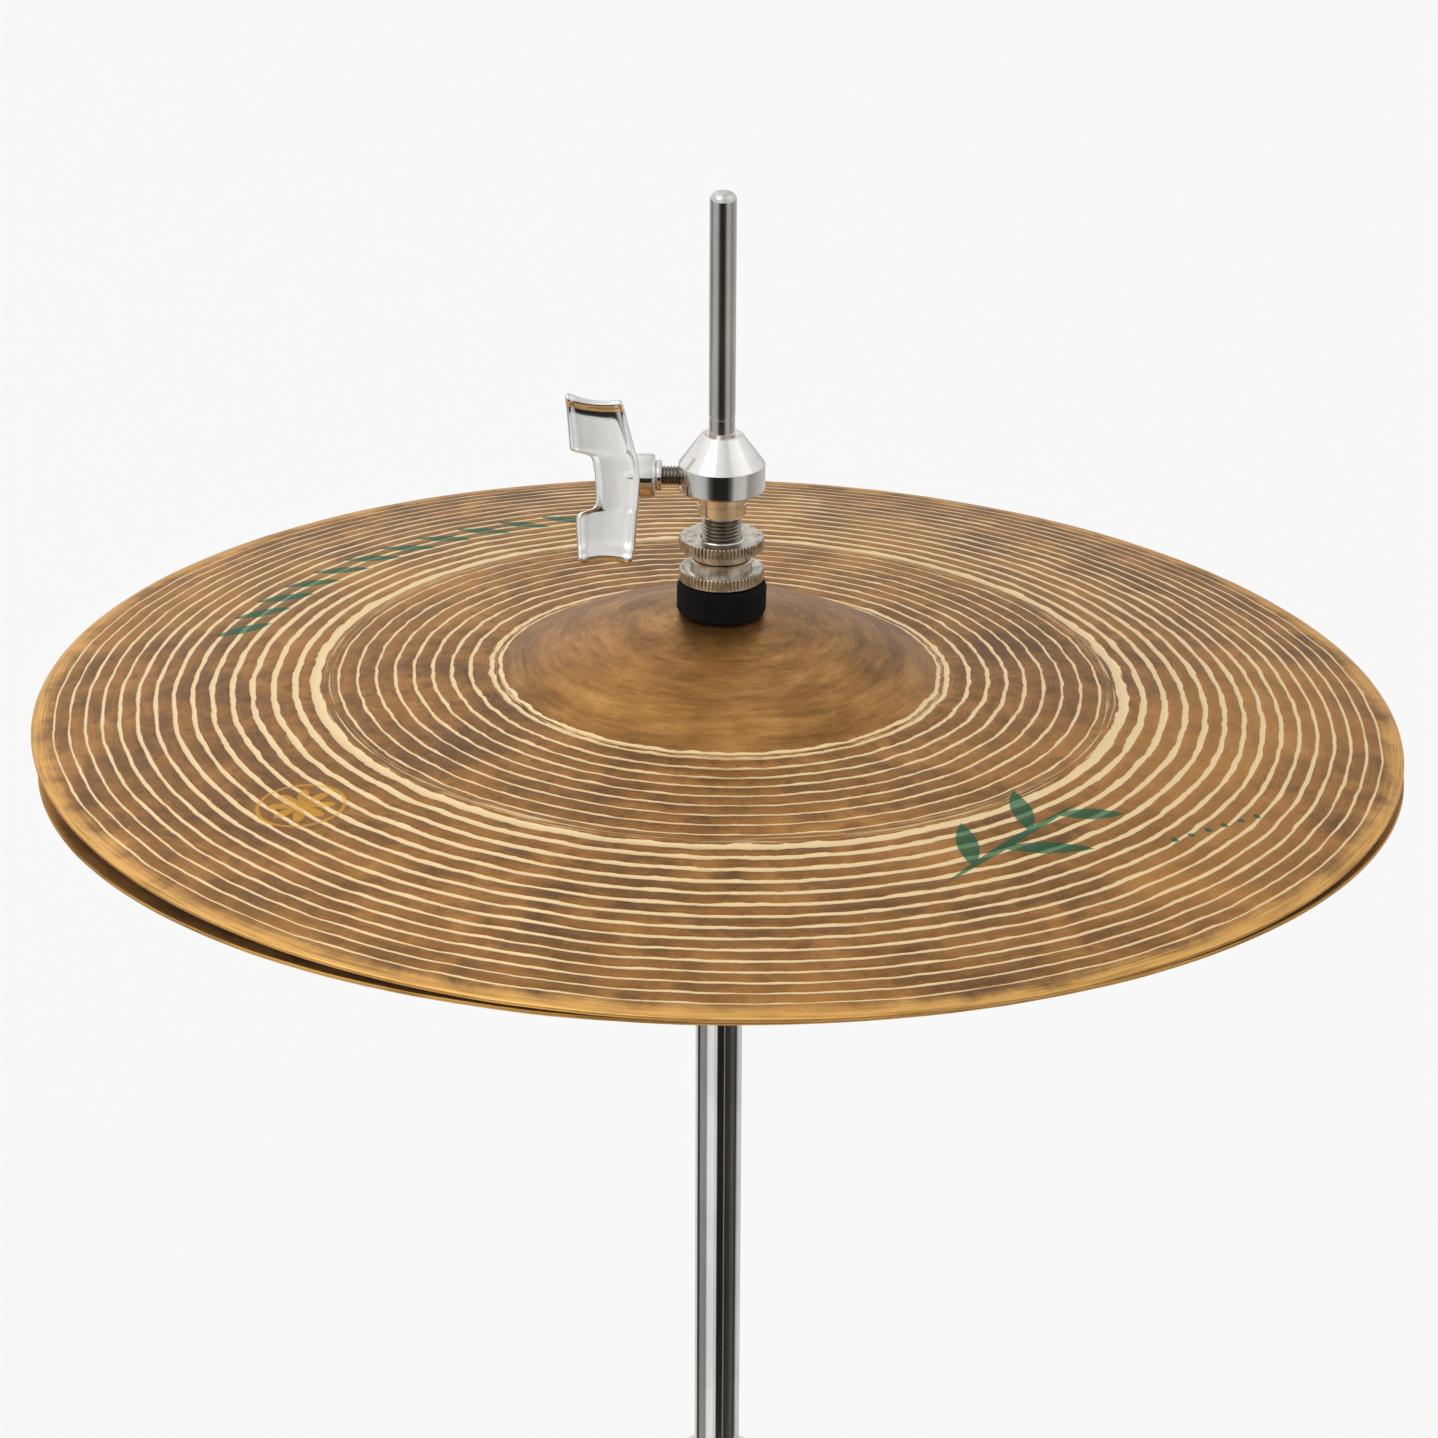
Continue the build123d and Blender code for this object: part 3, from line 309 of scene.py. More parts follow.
def green_and_gold_marks(sheet, x, y, radius, out_x, out_y, colour, cuts):
    """A leaf frieze and a four-leaf sprig in green ink, a dotted row, and a gold rosette."""
    def leaf(centre_x, centre_y, turn, length, width):
        """Pointed leaf: 1 inside, 0 outside."""
        along = (x - centre_x) * cos(turn) + (y - centre_y) * sin(turn)
        across = (y - centre_y) * cos(turn) - (x - centre_x) * sin(turn)
        swell = 1.0 - (along / length) * (along / length)
        return ((swell * width - across.size()) * 4.0).clamped()

    ink = None

    def add_ink(shape):
        nonlocal ink
        ink = shape if ink is None else ink.most(shape)

    # frieze of leaves, behind and to the left
    frieze_r = 132.0
    leaf_count = 11
    first_bearing = 110.0
    bearing_step = 5.6
    for step in range(leaf_count):
        bearing = radians(first_bearing + bearing_step * step)
        add_ink(leaf(frieze_r * cos(bearing), frieze_r * sin(bearing), bearing + 0.75, 8.4, 2.7))
    # sprig in front and to the right
    stem_x, stem_y = 70.0, -96.0
    stem_turn = radians(52.0)
    sprig_leaves = ((-16.0, 95.0, 11.0), (-4.0, 8.0, 12.0), (8.0, 98.0, 11.0), (20.0, 12.0, 9.0))
    add_ink(leaf(stem_x, stem_y, stem_turn, 30.0, 1.3))
    for along_stem, turn, length in sprig_leaves:
        root_x = stem_x + along_stem * cos(stem_turn)
        root_y = stem_y + along_stem * sin(stem_turn)
        add_ink(leaf(root_x + length * 0.9 * cos(radians(turn)), root_y + length * 0.9 * sin(radians(turn)),
                     radians(turn), length, 2.8))
    # row of dots beyond the sprig
    for step in range(6):
        dot_x = 110.0 + 4.4 * step
        dot_y = -88.0 + 3.4 * step
        gap = ((x - dot_x) * (x - dot_x) + (y - dot_y) * (y - dot_y)) ** 0.5
        add_ink(((1.1 - gap) * 4.0).clamped())
    green = sheet.blend(cuts * 0.6, shade(10, 92, 62), shade(22, 132, 88))
    colour = sheet.blend(ink * 0.88, colour, green)
    # gold rosette in front and to the left
    gold_x, gold_y = -101.0, -82.0
    from_x = x - gold_x
    from_y = y - gold_y
    reach = (from_x * from_x + from_y * from_y) ** 0.5
    round_angle = from_y.maths("ARCTAN2", from_x)
    petals = (round_angle * 4.0).maths("COSINE").size() * 6.0 + 2.5
    flower = ((petals - reach) * 3.0).clamped()
    ring = ((0.6 - (reach - 10.6).size()) * 4.0).clamped()
    gold = flower.most(ring)
    return sheet.blend(gold * 0.62, colour, shade(222, 164, 48))


def chrome(name, tint, roughness, streaks=0.0):
    """Polished plate with faint wipe marks and, if asked, fine lines along Z."""
    sheet = Sheet(name, metallic=1.0, roughness=roughness)
    place = sheet.mapped(Matrix.Identity(4))
    smudge = sheet.noise(place, 0.05, detail=5.0, roughness=0.6)
    fine = sheet.noise(place, 0.8, detail=3.0)
    x, y, z = sheet.split(place)
    drawn = sheet.noise(sheet.join(x * 5.0, y * 5.0, z * 0.03), 1.0, detail=3.0, roughness=0.7)
    rough = roughness + (smudge - 0.5) * 0.10 + (drawn - 0.5) * streaks
    dull = tuple(channel * 0.88 for channel in tint[:3]) + (1.0,)
    sheet.paint(Base_Color=sheet.blend(sheet.steps(smudge * 0.7 + drawn * 0.3, 0.42, 0.60), dull, tint),
                Roughness=rough.most(0.03))
    sheet.relief(fine * 0.4 + drawn * (streaks * 6.0), 0.00003, 0.35)
    return sheet.material


def nickel(name):
    """Satin nickel, a little yellowed, tarnished in patches."""
    sheet = Sheet(name, metallic=1.0, roughness=0.26)
    place = sheet.mapped(Matrix.Identity(4))
    tarnish = sheet.noise(place, 0.35, detail=6.0, roughness=0.7)
    fine = sheet.noise(place, 2.5, detail=3.0)
    sheet.paint(Base_Color=sheet.ramp(tarnish, (0.36, shade(150, 144, 130)), (0.50, shade(206, 201, 189)),
                                      (0.66, shade(228, 225, 216))),
                Roughness=0.22 + tarnish * 0.18)
    sheet.relief(fine, 0.00004, 0.4)
    return sheet.material


def felt(name):
    """Black pressed wool with loose fibres."""
    sheet = Sheet(name, metallic=0.0, roughness=0.95, Sheen_Weight=0.12, Sheen_Roughness=0.5,
                  Sheen_Tint=shade(120, 120, 120), Specular_IOR_Level=0.15)
    place = sheet.mapped(Matrix.Identity(4))
    wool = sheet.noise(place, 1.4, detail=6.0, roughness=0.8, distortion=1.2)
    tuft = sheet.noise(place, 0.5, detail=4.0, roughness=0.6)
    sheet.paint(Base_Color=sheet.ramp(wool * 0.7 + tuft * 0.3, (0.35, shade(6, 6, 7)),
                                      (0.55, shade(15, 15, 16)), (0.72, shade(38, 37, 38))))
    sheet.relief(wool + tuft * 0.6, 0.0006, 0.9)
    return sheet.material


def cast_alloy(name, dark, light):
    """Tumbled die casting: fine pits and soft wear."""
    sheet = Sheet(name, metallic=0.9, roughness=0.38)
    place = sheet.mapped(Matrix.Identity(4))
    pits = sheet.noise(place, 1.3, detail=5.0, roughness=0.75)
    wear = sheet.noise(place, 0.04, detail=5.0, roughness=0.6)
    sheet.paint(Base_Color=sheet.blend(sheet.steps(wear * 0.6 + pits * 0.4, 0.38, 0.62), dark, light),
                Roughness=0.30 + pits * 0.22)
    sheet.relief(pits, 0.00008, 0.5)
    return sheet.material


def moulded(name, base, worn, roughness):
    """Rubber or nylon with a fine moulded grain and dusty high spots."""
    sheet = Sheet(name, metallic=0.0, roughness=roughness)
    place = sheet.mapped(Matrix.Identity(4))
    grain = sheet.noise(place, 1.8, detail=4.0, roughness=0.7)
    dust = sheet.noise(place, 0.06, detail=5.0, roughness=0.65)
    sheet.paint(Base_Color=sheet.blend(sheet.steps(dust * 0.7 + grain * 0.3, 0.42, 0.68), base, worn),
                Roughness=roughness + (grain - 0.5) * 0.2)
    sheet.relief(grain, 0.00012, 0.5)
    return sheet.material


top_bronze = bronze("lathed_bronze_top", TOP, green_and_gold_marks)
bottom_bronze = bronze("lathed_bronze_bottom", BOTTOM, plain_marks)
bright_chrome = chrome("bright_chrome", shade(237, 234, 229), 0.07)
cast_chrome = chrome("cast_chrome", shade(232, 230, 226), 0.12)
tube_chrome = chrome("tube_chrome", shade(228, 226, 224), 0.06, streaks=0.04)
drawn_steel = chrome("drawn_steel", shade(214, 211, 206), 0.18, streaks=0.16)
yellow_nickel = nickel("yellow_nickel")
dark_thread = chrome("dark_thread", shade(156, 151, 143), 0.20)
spring_wire = chrome("spring_wire", shade(120, 118, 116), 0.30)
black_felt = felt("black_felt")
grey_casting = cast_alloy("grey_casting", shade(128, 129, 132), shade(188, 189, 192))
black_rubber = moulded("black_rubber", shade(20, 20, 21), shade(48, 47, 46), 0.72)
black_nylon = moulded("black_nylon", shade(18, 18, 19), shade(34, 34, 35), 0.45)


# ---- modelling by hand: a few moves used again and again ----
def start_alone():
    bpy.ops.object.select_all(action="DESELECT")


def lathe(name, outline, steps=96, closed=True):
    """A turned piece about Z: an outline of (radius, height) in millimetres, drawn point by point and spun."""
    start_alone()
    first = outline[0]
    bpy.ops.mesh.primitive_plane_add(size=MM, location=(first[0] * MM, 0, first[1] * MM))
    piece = bpy.context.object
    piece.name = name
    piece.data.name = name
    bpy.ops.object.transform_apply()
    bpy.ops.object.mode_set(mode="EDIT")
    bpy.ops.mesh.select_all(action="SELECT")
    bpy.ops.mesh.merge(type="CENTER")
    points = list(outline[1:]) + ([first] if closed else [])
    last = first
    for point in points:
        bpy.ops.mesh.extrude_vertices_move(TRANSFORM_OT_translate={
            "value": ((point[0] - last[0]) * MM, 0, (point[1] - last[1]) * MM)})
        last = point
    bpy.ops.mesh.select_all(action="SELECT")
    bpy.ops.mesh.spin(steps=steps, angle=2 * pi, center=(0, 0, 0), axis=(0, 0, 1))
    bpy.ops.mesh.select_all(action="SELECT")
    bpy.ops.mesh.remove_doubles(threshold=0.000004)
    bpy.ops.mesh.normals_make_consistent(inside=False)
    bpy.ops.object.mode_set(mode="OBJECT")
    return piece


def modify(piece, kind, **settings):
    """Add a modifier with its settings and apply it."""
    start_alone()
    piece.select_set(True)
    bpy.context.view_layer.objects.active = piece
    modifier = piece.modifiers.new(kind, kind)
    for setting, value in settings.items():
        setattr(modifier, setting, value)
    bpy.ops.object.modifier_apply(modifier=modifier.name)


def place(piece, matrix):
    """Carry the finished mesh to its place, leaving the object at the origin."""
    start_alone()
    piece.select_set(True)
    bpy.context.view_layer.objects.active = piece
    piece.matrix_world = matrix
    bpy.ops.object.transform_apply()


def smooth(piece, degrees=35):
    start_alone()
    piece.select_set(True)
    bpy.context.view_layer.objects.active = piece
    bpy.ops.object.shade_smooth_by_angle(angle=radians(degrees))


def join(name, *pieces):
    start_alone()
    for piece in pieces:
        piece.select_set(True)
    bpy.context.view_layer.objects.active = pieces[0]
    bpy.ops.object.join()
    pieces[0].name = name
    pieces[0].data.name = name
    return pieces[0]


def dress(piece, body, slot, material, *replaced):
    piece.data.materials.clear()
    piece.data.materials.append(material)
    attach(piece, body)
    if replaced:
        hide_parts(*replaced)


def cut_away(piece, cutter):
    modify(piece, "BOOLEAN", object=cutter, operation="DIFFERENCE", solver="EXACT")
    bpy.data.objects.remove(cutter)


def clouds(name, size, depth=2):
    texture = bpy.data.textures.new(name, "CLOUDS")
    texture.noise_scale = size
    texture.noise_depth = depth
    return texture


def arc(start, middle, end, count):
    """Points along the circle through three points, without the first."""
    (ax, ay), (bx, by), (cx, cy) = start, middle, end
    d = 2 * (ax * (by - cy) + bx * (cy - ay) + cx * (ay - by))
    a, b, c = ax * ax + ay * ay, bx * bx + by * by, cx * cx + cy * cy
    ux = (a * (by - cy) + b * (cy - ay) + c * (ay - by)) / d
    uy = (a * (cx - bx) + b * (ax - cx) + c * (bx - ax)) / d
    reach = hypot(ax - ux, ay - uy)
    from_angle = atan2(ay - uy, ax - ux)
    to_angle = atan2(cy - uy, cx - ux)
    points = []
    for step in range(1, count + 1):
        angle = from_angle + (to_angle - from_angle) * step / count
        points.append((ux + reach * cos(angle), uy + reach * sin(angle)))
    return points


# ---- camera ----
FOCAL = 95.43
CAMERA_RISE = radians(23.01)
CAMERA_ROLL = radians(0.3)
back = Vector((0, -cos(CAMERA_RISE), sin(CAMERA_RISE)))
level_right = Vector((1, 0, 0))
level_up = Vector((0, sin(CAMERA_RISE), cos(CAMERA_RISE)))
right = level_right * cos(CAMERA_ROLL) + level_up * sin(CAMERA_ROLL)
up = level_up * cos(CAMERA_ROLL) - level_right * sin(CAMERA_ROLL)
view_from = Vector((top_centre.x, 0, RIM_Z)) + back * 1.0 + right * 0.00007 - up * 0.00377
camera_data = bpy.data.cameras.new("camera")
camera_data.lens = FOCAL
camera_data.sensor_width = 36.0
camera_data.clip_start = 0.05
camera_data.clip_end = 60.0
camera = bpy.data.objects.new("camera", camera_data)
bpy.context.scene.collection.objects.link(camera)
camera.matrix_world = Matrix.Translation(view_from) @ Matrix((right, up, back)).transposed().to_4x4()
bpy.context.scene.camera = camera
bpy.context.scene.view_settings.view_transform = "Standard"

# ---- studio: pale floor, soft lights, dark cards that only reflections see ----
start_alone()
bpy.ops.mesh.primitive_plane_add(size=60.0, location=(0, 0, 0))
floor = bpy.context.object
floor.name = "floor"
floor_sheet = Sheet("studio_floor", roughness=0.9, Specular_IOR_Level=0.1)
floor_grain = floor_sheet.noise(floor_sheet.place, 3.0, detail=3.0)
floor_sheet.paint(Base_Color=floor_sheet.blend(
    floor_grain * 0.04, shade(238, 238, 238), shade(235, 235, 236)))
floor.data.materials.append(floor_sheet.material)


def soft_light(name, shines_from, spread, strength, colour):
    """A broad far light, so that the floor is lit evenly."""
    data = bpy.data.lights.new(name, "SUN")
    data.angle = radians(spread)
    data.energy = strength
    data.color = colour
    light = bpy.data.objects.new(name, data)
    bpy.context.scene.collection.objects.link(light)
    light.rotation_euler = (-Vector(shines_from)).to_track_quat("-Z", "Y").to_euler()


soft_light("key_light", (-1.9, -1.5, 2.7), 34, 0.66, (1.0, 0.985, 0.96))
soft_light("fill_light", (2.0, -0.6, 2.0), 45, 0.08, (0.97, 0.98, 1.0))

world = bpy.data.worlds.new("studio")
bpy.context.scene.world = world
world.use_nodes = True
sky = world.node_tree
sky_place = sky.nodes.new("ShaderNodeTexCoord")
sky_split = sky.nodes.new("ShaderNodeSeparateXYZ")
sky_ramp = sky.nodes.new("ShaderNodeValToRGB")
sky.links.new(sky_place.outputs["Generated"], sky_split.inputs[0])
sky.links.new(sky_split.outputs["Z"], sky_ramp.inputs[0])


def grey_stops(ramp, stops):
    """Fill a new ramp with greys at their places."""
    elements = ramp.color_ramp.elements
    while len(elements) < len(stops):
        elements.new(0.5)
    for element, (position, grey) in zip(elements, stops):
        element.position = position
        element.color = (grey, grey, grey, 1.0)


grey_stops(sky_ramp, ((0.0, 0.93), (0.22, 0.90), (0.42, 0.90), (0.70, 1.08), (1.0, 1.00)))
sky.links.new(sky_ramp.outputs[0], sky.nodes["Background"].inputs["Color"])
# lighter towards the left and the far right, darkest a little right of the middle
sky_across = sky.nodes.new("ShaderNodeMapRange")
sky_sides = sky.nodes.new("ShaderNodeValToRGB")
sky.links.new(sky_split.outputs["X"], sky_across.inputs["Value"])
sky_across.inputs["From Min"].default_value = -1.0
sky.links.new(sky_across.outputs["Result"], sky_sides.inputs[0])
grey_stops(sky_sides, ((0.0, 1.00), (0.32, 1.12), (0.46, 0.94), (0.60, 0.72), (0.74, 0.78), (0.92, 1.00)))
sky.links.new(sky_sides.outputs[0], sky.nodes["Background"].inputs["Strength"])

# a ring of cards round the object, seen only in polished metal
start_alone()
bpy.ops.mesh.primitive_cylinder_add(
    vertices=96, radius=0.86, depth=0.98, end_fill_type="NOTHING", location=(0, 0, 0.50))
cards = bpy.context.object
bpy.ops.object.transform_apply()
cards.name = "studio_cards"
card_sheet = Sheet("studio_card", roughness=1.0, Specular_IOR_Level=0.0)
card_x, card_y, card_height = card_sheet.split(card_sheet.place)
bearing = card_x.maths("ARCTAN2", card_y * -1.0)
LOW_CARDS = (
    (-180, 0.80), (-130, 0.70), (-124, 0.05), (-108, 0.06), (-100, 0.34), (-62, 0.30), (-55, 0.92),
    (-24, 0.95), (-18, 0.70), (-10, 0.85), (-5, 0.02), (26, 0.02), (29, 0.40), (33, 0.03), (58, 0.05),
    (74, 0.12), (98, 0.03), (108, 0.55), (130, 0.75), (150, 0.60), (180, 0.80),
)                              # bearing from the front, degrees, and how light the card is
HIGH_CARDS = (
    (-180, 0.60), (-135, 0.62), (-112, 0.22), (-86, 0.52), (-66, 0.62), (-44, 0.50), (-31, 0.10), (-20, 0.02),
    (14, 0.02), (24, 0.12), (34, 0.50), (62, 0.58), (74, 0.30), (98, 0.42), (140, 0.60), (180, 0.60),
)
warm = (1.0, 0.93, 0.86)


def card_light(stops):
    return card_sheet.ramp(bearing / (2 * pi) + 0.5, *(
        ((degrees + 180) / 360, tuple(light * (w if light < 0.5 else 1.0) for w in warm) + (1.0,))
        for degrees, light in stops))


card_sheet.paint(Base_Color=(0, 0, 0, 1), Emission_Strength=1.0, Emission_Color=card_sheet.blend(
    card_sheet.steps(card_height, 0.44, 0.54), card_light(LOW_CARDS), card_light(HIGH_CARDS)))
cards.data.materials.append(card_sheet.material)
for seen_by in ("camera", "diffuse", "shadow", "transmission", "volume_scatter"):
    setattr(cards, "visible_" + seen_by, False)


# ---- cymbals ----
def cymbal_outline():
    bow_reach = (CYMBAL_R ** 2 + BOW_RISE ** 2) / (2 * BOW_RISE) / MM
    rim, rise, bell, top, hole = (s / MM for s in (CYMBAL_R, BOW_RISE, BELL_R, BELL_TOP, HOLE_R))
    thick = CYMBAL_T / MM

    def bow(radius):
        return rise - bow_reach + (bow_reach ** 2 - radius ** 2) ** 0.5

    foot = (bell, bow(bell))
    crown_end = (bell - 9.0, foot[1] + 4.6)
    cove = ((crown_end[0] + foot[0]) / 2 - 0.13, (crown_end[1] + foot[1]) / 2 - 0.25)
    crown = [(hole, top)] + arc((hole, top), (bell * 0.53, top - 4.1), crown_end, 22)
    crown += arc(crown_end, cove, foot, 6)
    upper = list(crown)
    for cut_radius, half in sorted(LATHE_CUTS):
        if cut_radius < bell + 1.0:
            continue
        depth = 0.10 if half < 1.2 else 0.14
        for offset, drop in ((-half - 0.3, 0.0), (-half, depth), (half, depth), (half + 0.3, 0.0)):
            if cut_radius + offset < rim - 1.0:
                upper.append((cut_radius + offset, bow(cut_radius + offset) - drop))
        upper.append((cut_radius + 2.4, bow(cut_radius + 2.4)))
    upper = sorted((point for point in upper if point[0] < rim - 0.9), key=lambda point: point[0])
    upper += [(rim - 0.5, bow(rim - 0.5)), (rim - 0.12, -0.12), (rim, -0.35), (rim, -0.75),
              (rim - 0.15, -thick + 0.1), (rim - 0.5, bow(rim - 0.5) - thick)]
    lower = [(r, z - thick) for r, z in crown]
    for step in range(1, 26):
        radius = bell + (rim - bell) * step / 26
        lower.append((radius, bow(radius) - thick))
    return upper + lower[::-1]


hammering = clouds("hammering", 0.017, 3)
for name, body, matrix, finish in (("top_cymbal", "top_cymbal", TOP, top_bronze),
                                   ("bottom_cymbal", "bottom_cymbal", BOTTOM, bottom_bronze)):
    plate = lathe("lathed_" + name, cymbal_outline(), steps=240)
    modify(plate, "DISPLACE", texture=hammering, texture_coords="LOCAL", direction="Z",
           strength=0.00026, mid_level=0.5)
    place(plate, matrix)
    smooth(plate, 50)
    dress(plate, body, "bronze", finish, name)


# ---- clutch ----
def thread(crest, root, low, high, pitch):
    """Zigzag outline of a thread from low to high."""
    points = []
    turns = round((high - low) / pitch)
    for turn in range(turns):
        base = low + turn * pitch
        points += [(root, base + 0.08 * pitch), (crest, base + 0.46 * pitch), (crest, base + 0.60 * pitch)]
    return points + [(root, high)]


clutch_piece = lathe("clutch_body_turned", (
    [(3.43, 8.0), (4.55, 8.0)] + thread(5.15, 4.55, 8.2, 53.2, 1.0) +
    [(5.6, 53.15), (5.95, 53.25), (6.35, 53.8), (6.35, 56.4), (6.22, 56.5), (6.22, 56.8), (6.35, 56.9),
     (6.35, 59.9), (6.5, 60.0), (10.5, 60.0), (10.95, 60.15), (11.15, 60.45), (11.15, 66.85), (11.08, 67.05),
     (10.95, 67.2), (5.45, 74.65), (5.25, 74.82), (5.0, 74.9), (4.5, 74.86), (4.25, 74.6), (3.75, 73.6),
     (3.43, 73.0)]), steps=96)
place(clutch_piece, RIM)
start_alone()
bpy.ops.mesh.primitive_cylinder_add(
    vertices=40, radius=0.00275, depth=0.012, location=(-0.0095, 0, SCREW_Z), rotation=(0, pi / 2, 0))
cut_away(clutch_piece, bpy.context.object)
smooth(clutch_piece, 28)
dress(clutch_piece, "clutch", "chrome", bright_chrome, "clutch_body")
clutch_piece.data.materials.append(dark_thread)
for face in clutch_piece.data.polygons:
    if face.center.z < RIM_Z + 0.0531 and hypot(face.center.x, face.center.y) > 0.0040:
        face.material_index = 1

# wing screw: turned shank, and two cast wings whose thick lips stand towards the player
WING_LEAN = radians(20.0)
SCREW_FRAME = frame_matrix(Vector((0, 0, SCREW_Z)), Vector((-1, 0, 0)), Vector((0, 0, 1)))
WING_FRAME = Matrix.Translation((0, 0, SCREW_Z)) @ Matrix.Rotation(-WING_LEAN, 4, "X")
shank = lathe("wing_screw_shank", (
    [(0.0, 3.85), (1.6, 3.85), (2.0, 4.3)] + thread(2.6, 2.1, 4.4, 15.2, 0.9) +
    [(3.4, 15.25), (3.9, 15.5), (4.0, 15.9), (4.0, 16.6), (3.7, 17.0), (5.2, 17.05), (5.5, 17.4),
     (5.6, 18.2), (5.6, 22.0), (5.2, 25.0), (4.2, 28.5), (2.6, 30.6), (0.0, 31.2)]), steps=64)
place(shank, SCREW_FRAME)
smooth(shank, 40)

WING_ROWS = (
    # height from the screw's axis, left edge, right edge, front face, back face, millimetres
    (19.5, -39.2, -26.2, -5.4, -3.2), (19.3, -39.8, -25.6, -6.4, -2.6), (18.5, -40.0, -25.3, -6.9, -2.2),
    (17.6, -39.9, -25.0, -6.6, -2.0), (16.9, -39.8, -24.8, -5.7, -1.9), (15.2, -39.6, -24.4, -5.25, -1.6),
    (12.0, -39.3, -23.6, -5.0, -1.2), (9.0, -39.0, -22.8, -4.9, -0.8), (7.0, -38.9, -22.3, -4.9, -0.4),
    (6.2, -38.7, -22.1, -4.95, -0.2), (5.6, -36.4, -21.9, -5.0, 0.2), (5.0, -33.6, -21.7, -5.1, 0.8),
    (4.0, -33.0, -21.2, -5.2, 1.2), (0.0, -32.4, -20.6, -5.3, 1.6), (-4.0, -32.1, -20.8, -5.3, 1.4),
    (-7.6, -32.1, -21.1, -5.2, 0.8), (-8.7, -33.0, -21.2, -5.2, 0.2), (-9.3, -35.4, -21.3, -5.2, -0.2),
    (-10.0, -37.2, -21.4, -5.2, -0.6), (-13.0, -37.2, -21.6, -5.3, -1.2), (-16.5, -36.9, -21.9, -5.6, -1.7),
    (-18.6, -36.7, -22.1, -5.9, -2.0), (-19.6, -36.6, -22.2, -6.9, -2.2), (-20.7, -36.5, -22.4, -7.5, -2.6),
    (-21.8, -36.3, -22.9, -7.2, -3.2), (-22.5, -35.9, -23.8, -5.9, -4.2),
)
ACROSS = (0.0, 0.03, 0.08, 0.14, 0.26, 0.42, 0.58, 0.74, 0.86, 0.92, 0.97, 1.0)
SIDE_LIP = (0.10, 0.75, 0.80, 0.10, 0.0, -0.15, -0.15, 0.0, 0.10, 0.80, 0.75, 0.10)
start_alone()
bpy.ops.mesh.primitive_grid_add(
    x_subdivisions=len(ACROSS) - 1, y_subdivisions=len(WING_ROWS) - 1, size=0.02, location=(0, 0, 0),
    rotation=(pi / 2, 0, 0))
wings = bpy.context.object
bpy.ops.object.transform_apply()
bpy.ops.object.mode_set(mode="EDIT")
bpy.ops.mesh.select_all(action="SELECT")
bpy.ops.mesh.extrude_region_move(TRANSFORM_OT_translate={"value": (0, 0.01, 0)})
bpy.ops.object.mode_set(mode="OBJECT")
for vertex in wings.data.vertices:
    column = round((vertex.co.x / 0.02 + 0.5) * (len(ACROSS) - 1))
    row = round((0.5 - vertex.co.z / 0.02) * (len(WING_ROWS) - 1))
    height, left_edge, right_edge, front_face, back_face = WING_ROWS[row]
    away = 2 * ACROSS[column] - 1.0
    # the tips are hollowed, so their edges run in a shallow curve
    hollow = (1.1 * (away * away - 0.5) + 0.9 * away * -1.0) * max(0.0, (abs(height) - 8.0) / 12.0) ** 1.5
    lift = hollow if height > 0 else -hollow * 0.9 - 0.8 * away * max(0.0, (abs(height) - 8.0) / 12.0)
    deep = back_face if vertex.co.y > 0.005 else front_face - SIDE_LIP[column]
    vertex.co = Vector((left_edge + (right_edge - left_edge) * ACROSS[column], deep, height + lift)) * MM
bpy.ops.object.mode_set(mode="EDIT")
bpy.ops.mesh.select_all(action="SELECT")
bpy.ops.mesh.normals_make_consistent(inside=False)
bpy.ops.object.mode_set(mode="OBJECT")
modify(wings, "SUBSURF", levels=2, render_levels=2)
place(wings, WING_FRAME)
smooth(wings, 70)
wing_screw = join("cast_wing_screw", wings, shank)
dress(wing_screw, "wing_screw", "chrome", cast_chrome, "clutch_wing_screw")
wing_screw.data.materials.append(dark_thread)
for face in wing_screw.data.polygons:
    if face.center.x > -0.0152:
        face.material_index = 1

# knurled nuts
KNURLS = 66


def knurled_nut(name, body, replaced, flange_low, flange_high, outline):
    """Turned nut with straight knurls round its flange."""
    nut = lathe(name, outline, steps=4 * KNURLS)
    for vertex in nut.data.vertices:
        reach = hypot(vertex.co.x, vertex.co.y)
        if reach > 0.0109 and flange_low < vertex.co.z / MM < flange_high:
            step = round(atan2(vertex.co.y, vertex.co.x) / (2 * pi) * 4 * KNURLS) % 4
            if step > 1:
                vertex.co.x *= 1 - 0.00070 / reach
                vertex.co.y *= 1 - 0.00070 / reach
    place(nut, RIM)
    smooth(nut, 30)
    dress(nut, body, "nickel", yellow_nickel, replaced)


knurled_nut("knurled_lock_nut", "lock_nut", "clutch_lock_nut", 44.2, 47.1, (
    (5.25, 41.65), (7.6, 41.65), (8.0, 42.0), (8.0, 43.5), (8.4, 43.9), (10.2, 44.1), (10.7, 44.15),
    (11.0, 44.4), (11.0, 45.6), (11.0, 46.9), (10.7, 47.15), (10.2, 47.2), (9.5, 47.2), (9.25, 46.92),
    (6.5, 46.86), (6.3, 47.1), (5.6, 47.15), (5.25, 46.8)))
knurled_nut("knurled_clamp_nut", "clamp_nut", "clutch_clamp_nut", 35.7, 38.6, (
    (5.25, 35.6), (10.3, 35.6), (10.7, 35.65), (11.0, 35.9), (11.0, 37.1), (11.0, 38.4), (10.7, 38.65),
    (10.3, 38.7), (9.9, 38.5), (9.3, 37.85), (8.7, 37.75), (8.15, 38.0), (8.0, 38.5), (8.0, 41.0),
    (7.65, 41.35), (5.25, 41.35)))
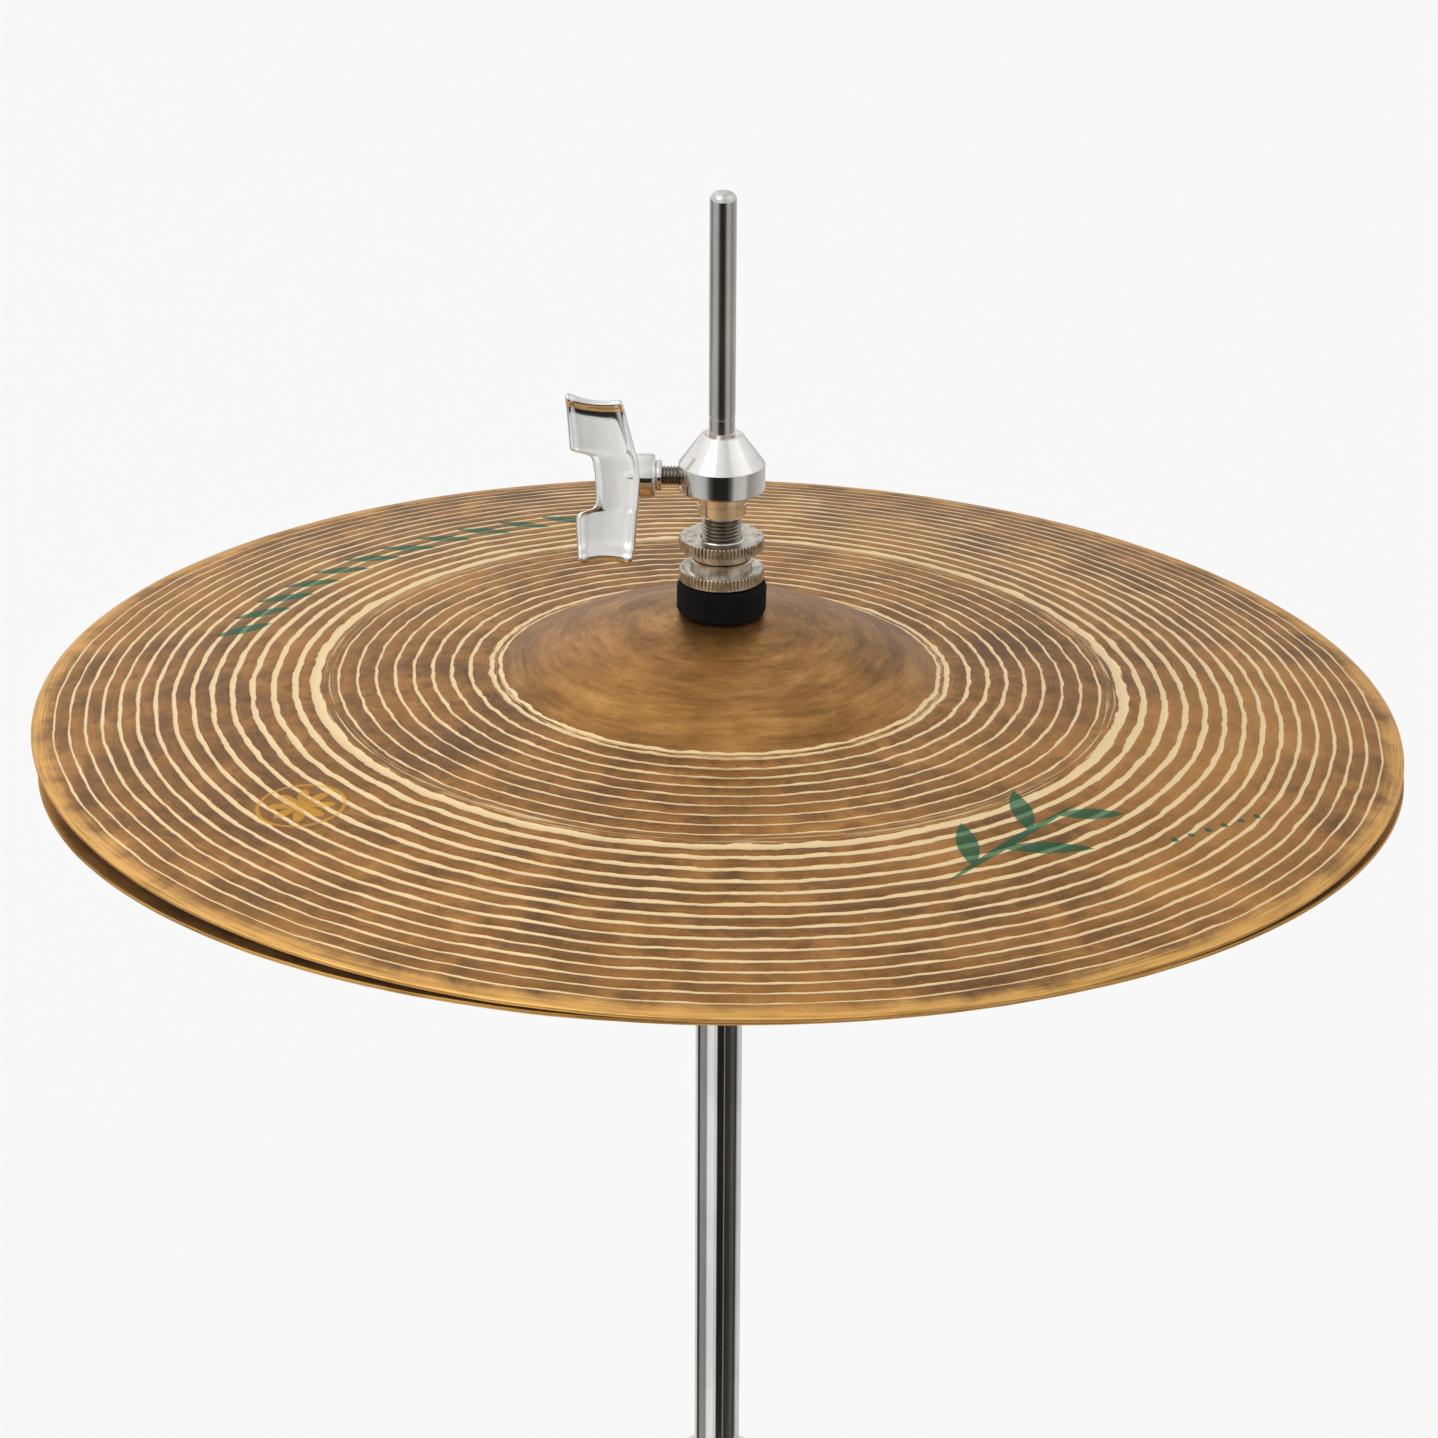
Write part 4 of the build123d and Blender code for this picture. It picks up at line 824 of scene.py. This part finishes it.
knurled_nut("knurled_bottom_nut", "bottom_nut", "clutch_bottom_nut", 16.1, 19.0, (
    (5.25, 12.0), (7.6, 12.0), (8.0, 12.4), (8.0, 15.6), (8.4, 15.9), (10.2, 16.0), (10.7, 16.05),
    (11.0, 16.3), (11.0, 17.5), (11.0, 18.8), (10.7, 19.05), (10.3, 19.1), (5.25, 19.1)))


# ---- felts ----
def felt_washer(name, matrix, bore, outer, low, high, body, replaced, fibres):
    """Pressed wool ring with rounded edges, an uneven face and loose fibres."""
    soft = 1.3
    rows = 9
    outline = [(bore + 0.5, low), (bore + 2.5, low), (outer - soft, low), (outer - 0.4, low + 0.35),
               (outer, low + soft)]
    outline += [(outer, low + soft + (high - low - 2 * soft) * step / rows) for step in range(1, rows)]
    outline += [(outer, high - soft), (outer - 0.4, high - 0.35), (outer - soft, high), (bore + 2.5, high),
                (bore + 0.5, high), (bore, high - 0.5), (bore, low + 0.5)]
    ring = lathe(name, outline, steps=160)
    modify(ring, "DISPLACE", texture=clouds(name + "_wool", 0.0011, 3), texture_coords="LOCAL",
           direction="NORMAL", strength=0.00042, mid_level=0.72)
    smooth(ring, 70)
    seed = random.Random(name)
    mesh = bmesh.new()
    for _ in range(fibres):
        angle = seed.uniform(0, 2 * pi)
        height = seed.uniform(low + 0.3, high - 0.3)
        root = Vector((cos(angle), sin(angle), 0)) * (outer - 0.12) * MM
        root.z = height * MM
        outward = Vector((cos(angle), sin(angle), 0))
        sideways = Vector((-sin(angle), cos(angle), 0)) * seed.uniform(-1, 1)
        sideways += Vector((0, 0, seed.uniform(-1, 1)))
        reach = seed.uniform(0.15, 0.42) * MM
        bend = root + outward * reach * 0.6 + sideways * reach * 0.5
        tip = root + outward * reach * 0.75 + sideways * reach * seed.uniform(0.9, 1.7)
        half = sideways.cross(outward).normalized() * 0.012 * MM
        points = [mesh.verts.new(p) for p in (root - half, root + half, bend + half, bend - half, tip)]
        mesh.faces.new(points[:4])
        mesh.faces.new((points[3], points[2], points[4]))
    hair = bpy.data.meshes.new(name + "_fibres")
    mesh.to_mesh(hair)
    mesh.free()
    fibre_piece = bpy.data.objects.new(name + "_fibres", hair)
    bpy.context.scene.collection.objects.link(fibre_piece)
    ring = join(name, ring, fibre_piece)
    place(ring, matrix)
    dress(ring, body, "felt", black_felt, replaced)


felt_washer("upper_felt_ring", TOP, 5.6, 11.62, 26.45, 35.05, "clutch_felts", "upper_clutch_felt", 4200)
felt_washer("lower_felt_ring", TOP, 5.6, 11.62, 19.65, 24.25, "clutch_felts", "lower_clutch_felt", 1400)
felt_washer("seat_felt_ring", frame_matrix(seat_pivot, seat_normal), 5.85, 14.9, 5.2, 15.6, "tilter",
            "seat_felt", 1600)

# ---- carried-over pieces and their finishes ----
FINISHES = {
    drawn_steel: ("upper_pull_rod", "lower_pull_rod", "radius_rods"),
    tube_chrome: ("upper_tube", "lower_tube", "leg_back", "leg_left", "leg_right", "brace_back", "brace_left",
                  "brace_right", "base_posts"),
    yellow_nickel: ("rod_coupler", "chain_links", "chain_rollers", "toe_pin", "heel_hinge_pin",
                    "rod_clevis_pin", "leg_pivot_pins",
                    "brace_pivot_pins", "tilter_screw", "memory_lock_bolt"),
    bright_chrome: ("seat_base", "tilt_plate"),
    cast_chrome: ("clamp_wing_bolt", "collar_wing_bolt", "leg_rivets_back", "leg_rivets_left",
                  "leg_rivets_right", "memory_lock"),
    grey_casting: ("footboard", "heel_plate", "toe_bracket", "base_hub", "leg_collar", "tube_clamp",
                   "base_plate", "rod_clevis", "spring_collar", "spring_seat"),
    spring_wire: ("return_spring",),
    black_rubber: ("base_pad", "heel_pad", "foot_back", "foot_left", "foot_right", "seat_cup"),
    black_nylon: ("rod_guide", "tube_bush"),
}
for finish, names in FINISHES.items():
    for name in names:
        for slot in nodes[name].material_slots:
            slot.material = finish
